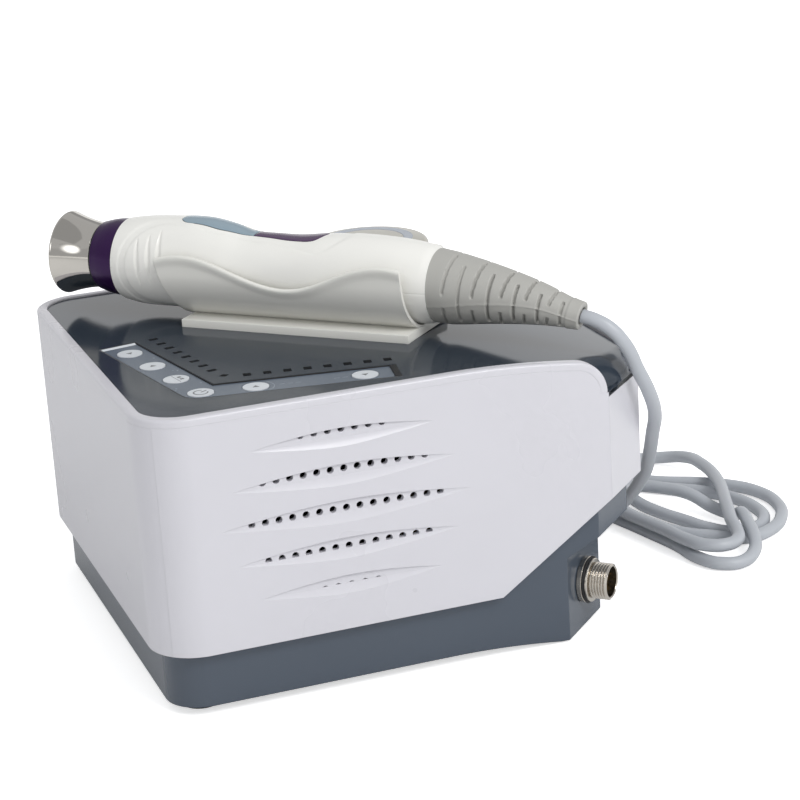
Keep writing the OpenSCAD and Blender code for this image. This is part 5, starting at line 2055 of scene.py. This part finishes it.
def dress_nodes() -> None:
    """Gives every CAD node its finish, also those that a piece stands for."""
    missing = set(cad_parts)
    for slot, names in NODES_BY_FINISH.items():
        made = FINISHES[slot].material()
        for name in names:
            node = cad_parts[name]
            missing.discard(name)
            if not node.material_slots:
                node.data.materials.append(made)
            for place in node.material_slots:
                place.material = made
    LOG.info("nodes dressed, left out: %s", sorted(missing))


# ---------------- studio

@dataclass(frozen=True)
class Card:
    """Glowing flat card that only gloss sees: its name, its corners in metres and its glow."""

    name: str
    corners: tuple
    glow: float

    def make(self) -> bpy.types.Object:
        """Builds the card.

        Returns:
            The card.
        """
        made = bpy.data.materials.new(f"{self.name}_glow")
        net = blank_net(made)
        glow = net.add("Emission", Color=(0.97, 0.98, 1.0, 1.0), Strength=self.glow)
        net.link(glow.outputs[0], net.add("OutputMaterial").inputs["Surface"])
        mesh = bpy.data.meshes.new(self.name)
        mesh.from_pydata(self.corners, [], [tuple(range(len(self.corners)))])
        mesh.materials.append(made)
        card = to_scene(self.name, mesh)
        card.visible_camera = False
        card.visible_diffuse = False
        card.visible_shadow = False
        card.visible_transmission = False
        return card


@dataclass
class Studio:
    """Pale floor, soft light, white surroundings and the camera."""

    camera_at: tuple = (-0.3595, -1.1571, 0.4996)
    camera_x: tuple = (0.93778, -0.34206, -0.05961)
    camera_y: tuple = (0.15913, 0.27081, 0.94939)
    camera_z: tuple = (-0.30861, -0.89981, 0.30839)
    lens: float = 107.96
    sensor: float = 36.0
    sky: float = 0.7
    floor_glow: float = 0.6
    floor_half: float = 6.0
    cards: tuple = (
        Card("ceiling", ((-3, 3, 2.2), (6, 3, 2.2), (6, 6.2, 2.2), (-3, 6.2, 2.2)), 0.4),
        Card("ceiling_front", ((-3.4, -5, 2.2), (6, -5, 2.2), (6, 3, 2.2), (-3.4, 3, 2.2)), 0.58),
        Card("ceiling_patch", ((-2.0, -1.2, 2.15), (-1.2, -0.2, 2.15), (0.3, 0.9, 2.15), (0.9, 0.1, 2.15),
                               (-1.1, -1.3, 2.15)), 0.42),
        Card("wall_left", ((-3.4, -5, 0.35), (-3.4, 4, 0.35), (-3.4, 4, 2.2), (-3.4, -5, 2.2)), 0.5),
    )
    bell_at: tuple = (-0.102, 0.097, 0.18)
    spot_way: tuple = (-0.722, -0.555, 0.419)
    spot_far: float = 3.2
    spot_half: Flat = (0.5, 1.3)
    spot_glow: Flat = (2.6, 0.5)
    lamp_at: tuple = (0.75, -1.7, 1.65)
    lamp_size: float = 1.0
    lamp_power: float = 24.6
    lamp_aim: tuple = (0, 0, 0.1)

    def camera(self) -> None:
        """Places the camera."""
        data = bpy.data.cameras.new("view")
        data.lens = self.lens
        data.sensor_width = self.sensor
        data.sensor_fit = "HORIZONTAL"
        data.clip_start = 0.01
        data.clip_end = 100
        eye = to_scene("view", data)
        turn = Matrix((self.camera_x, self.camera_y, self.camera_z)).transposed().to_4x4()
        eye.matrix_world = Matrix.Translation(self.camera_at) @ turn
        bpy.context.scene.camera = eye

    def world(self) -> None:
        """White surroundings for the camera and for gloss, softer light for everything else."""
        world = bpy.data.worlds.new("studio")
        net = blank_net(world)
        path = net.add("LightPath")
        seen = net.add("Math", operation="ADD", use_clamp=True)
        net.link(path.outputs["Is Camera Ray"], seen.inputs[0])
        net.link(path.outputs["Is Glossy Ray"], seen.inputs[1])
        clear = net.add("Math", operation="ADD", use_clamp=True)
        net.link(seen.outputs[0], clear.inputs[0])
        net.link(path.outputs["Is Transmission Ray"], clear.inputs[1])
        soft = net.add("Background", Color=(0.98, 0.99, 1.0, 1.0), Strength=self.sky)
        white = net.add("Background", Color=(1.0, 1.0, 1.0, 1.0), Strength=1.0)
        blend = net.add("MixShader")
        net.link(clear.outputs[0], blend.inputs[0])
        net.link(soft.outputs[0], blend.inputs[1])
        net.link(white.outputs[0], blend.inputs[2])
        net.link(blend.outputs[0], net.add("OutputWorld").inputs["Surface"])
        bpy.context.scene.world = world

    def floor(self) -> None:
        """Plain pale floor that keeps the device's shadow."""
        made = bpy.data.materials.new("floor_white")
        net = blank_net(made)
        path = net.add("LightPath")
        matt = net.add("BsdfDiffuse", Color=(0.93, 0.93, 0.93, 1.0))
        glow = net.add("Emission", Color=(1.0, 1.0, 1.0, 1.0), Strength=self.floor_glow)
        lit = net.add("AddShader")
        net.link(matt.outputs[0], lit.inputs[0])
        net.link(glow.outputs[0], lit.inputs[1])
        blend = net.add("MixShader")
        net.link(path.outputs["Is Camera Ray"], blend.inputs[0])
        net.link(matt.outputs[0], blend.inputs[1])
        net.link(lit.outputs[0], blend.inputs[2])
        net.link(blend.outputs[0], net.add("OutputMaterial").inputs["Surface"])
        half = self.floor_half
        mesh = bpy.data.meshes.new("floor")
        corners = [(-half, -half, 0), (half, -half, 0), (half, half, 0), (-half, half, 0)]
        mesh.from_pydata(corners, [], [(0, 1, 2, 3)])
        mesh.materials.append(made)
        to_scene("floor", mesh)

    def round_lamp(self) -> None:
        """Soft round card beyond the flared head, brightest in its middle."""
        way = Vector(self.spot_way).normalized()
        middle = Vector(self.bell_at) + way * self.spot_far
        turn = way.to_track_quat("Z", "Y").to_matrix()
        across, up = self.spot_half
        edge = tuple(tuple(middle + turn @ Vector((across * math.cos(a), up * math.sin(a), 0)))
                     for a in steps(0, 2 * math.pi, 48)[:-1])
        spot = Card("round_lamp", edge, 1.0).make()
        net = NodeTree(spot.data.materials[0].node_tree)
        glow = next(node for node in net.tree.nodes if node.type == "EMISSION")
        place = net.add("TexCoord").outputs["Generated"]
        centred = net.add("VectorMath", operation="DISTANCE", Vector=place)
        centred.inputs[1].default_value = (0.5, 0.5, 0.5)
        fade = net.add("MapRange", Value=centred.outputs["Value"], From_Min=0.16, From_Max=0.5,
                       To_Min=self.spot_glow[0], To_Max=self.spot_glow[1], interpolation_type="SMOOTHSTEP")
        net.link(fade.outputs["Result"], glow.inputs["Strength"])

    def key_lamp(self) -> None:
        """Square soft lamp that points at the device."""
        data = bpy.data.lights.new("key_lamp", "AREA")
        data.shape = "SQUARE"
        data.size = self.lamp_size
        data.energy = self.lamp_power
        lamp = to_scene("key_lamp", data)
        turn = (Vector(self.lamp_aim) - Vector(self.lamp_at)).to_track_quat("-Z", "Y").to_matrix().to_4x4()
        lamp.matrix_world = Matrix.Translation(self.lamp_at) @ turn

    def make(self) -> None:
        """Builds the studio."""
        self.camera()
        self.world()
        self.floor()
        for card in self.cards:
            card.make()
        self.round_lamp()
        self.key_lamp()
        bpy.context.scene.view_settings.view_transform = "Standard"


CORNER = Vector((Console.length / 2, Console.width / 2, 0))


def main() -> None:
    """Builds the device's looks in order."""
    logging.basicConfig(level=logging.INFO, format="%(name)s: %(message)s")
    Studio().make()
    console = Console()
    cradle = Cradle(console)
    handpiece = Handpiece(cradle)
    Cord(handpiece).make()
    dress_nodes()
    keypad = Keypad(console)
    console.make(keypad)
    keypad.make()
    cradle.make()
    handpiece.make()
    SpareHead(cradle).make()
    Connectors(console).make()


if __name__ == "__main__":
    main()
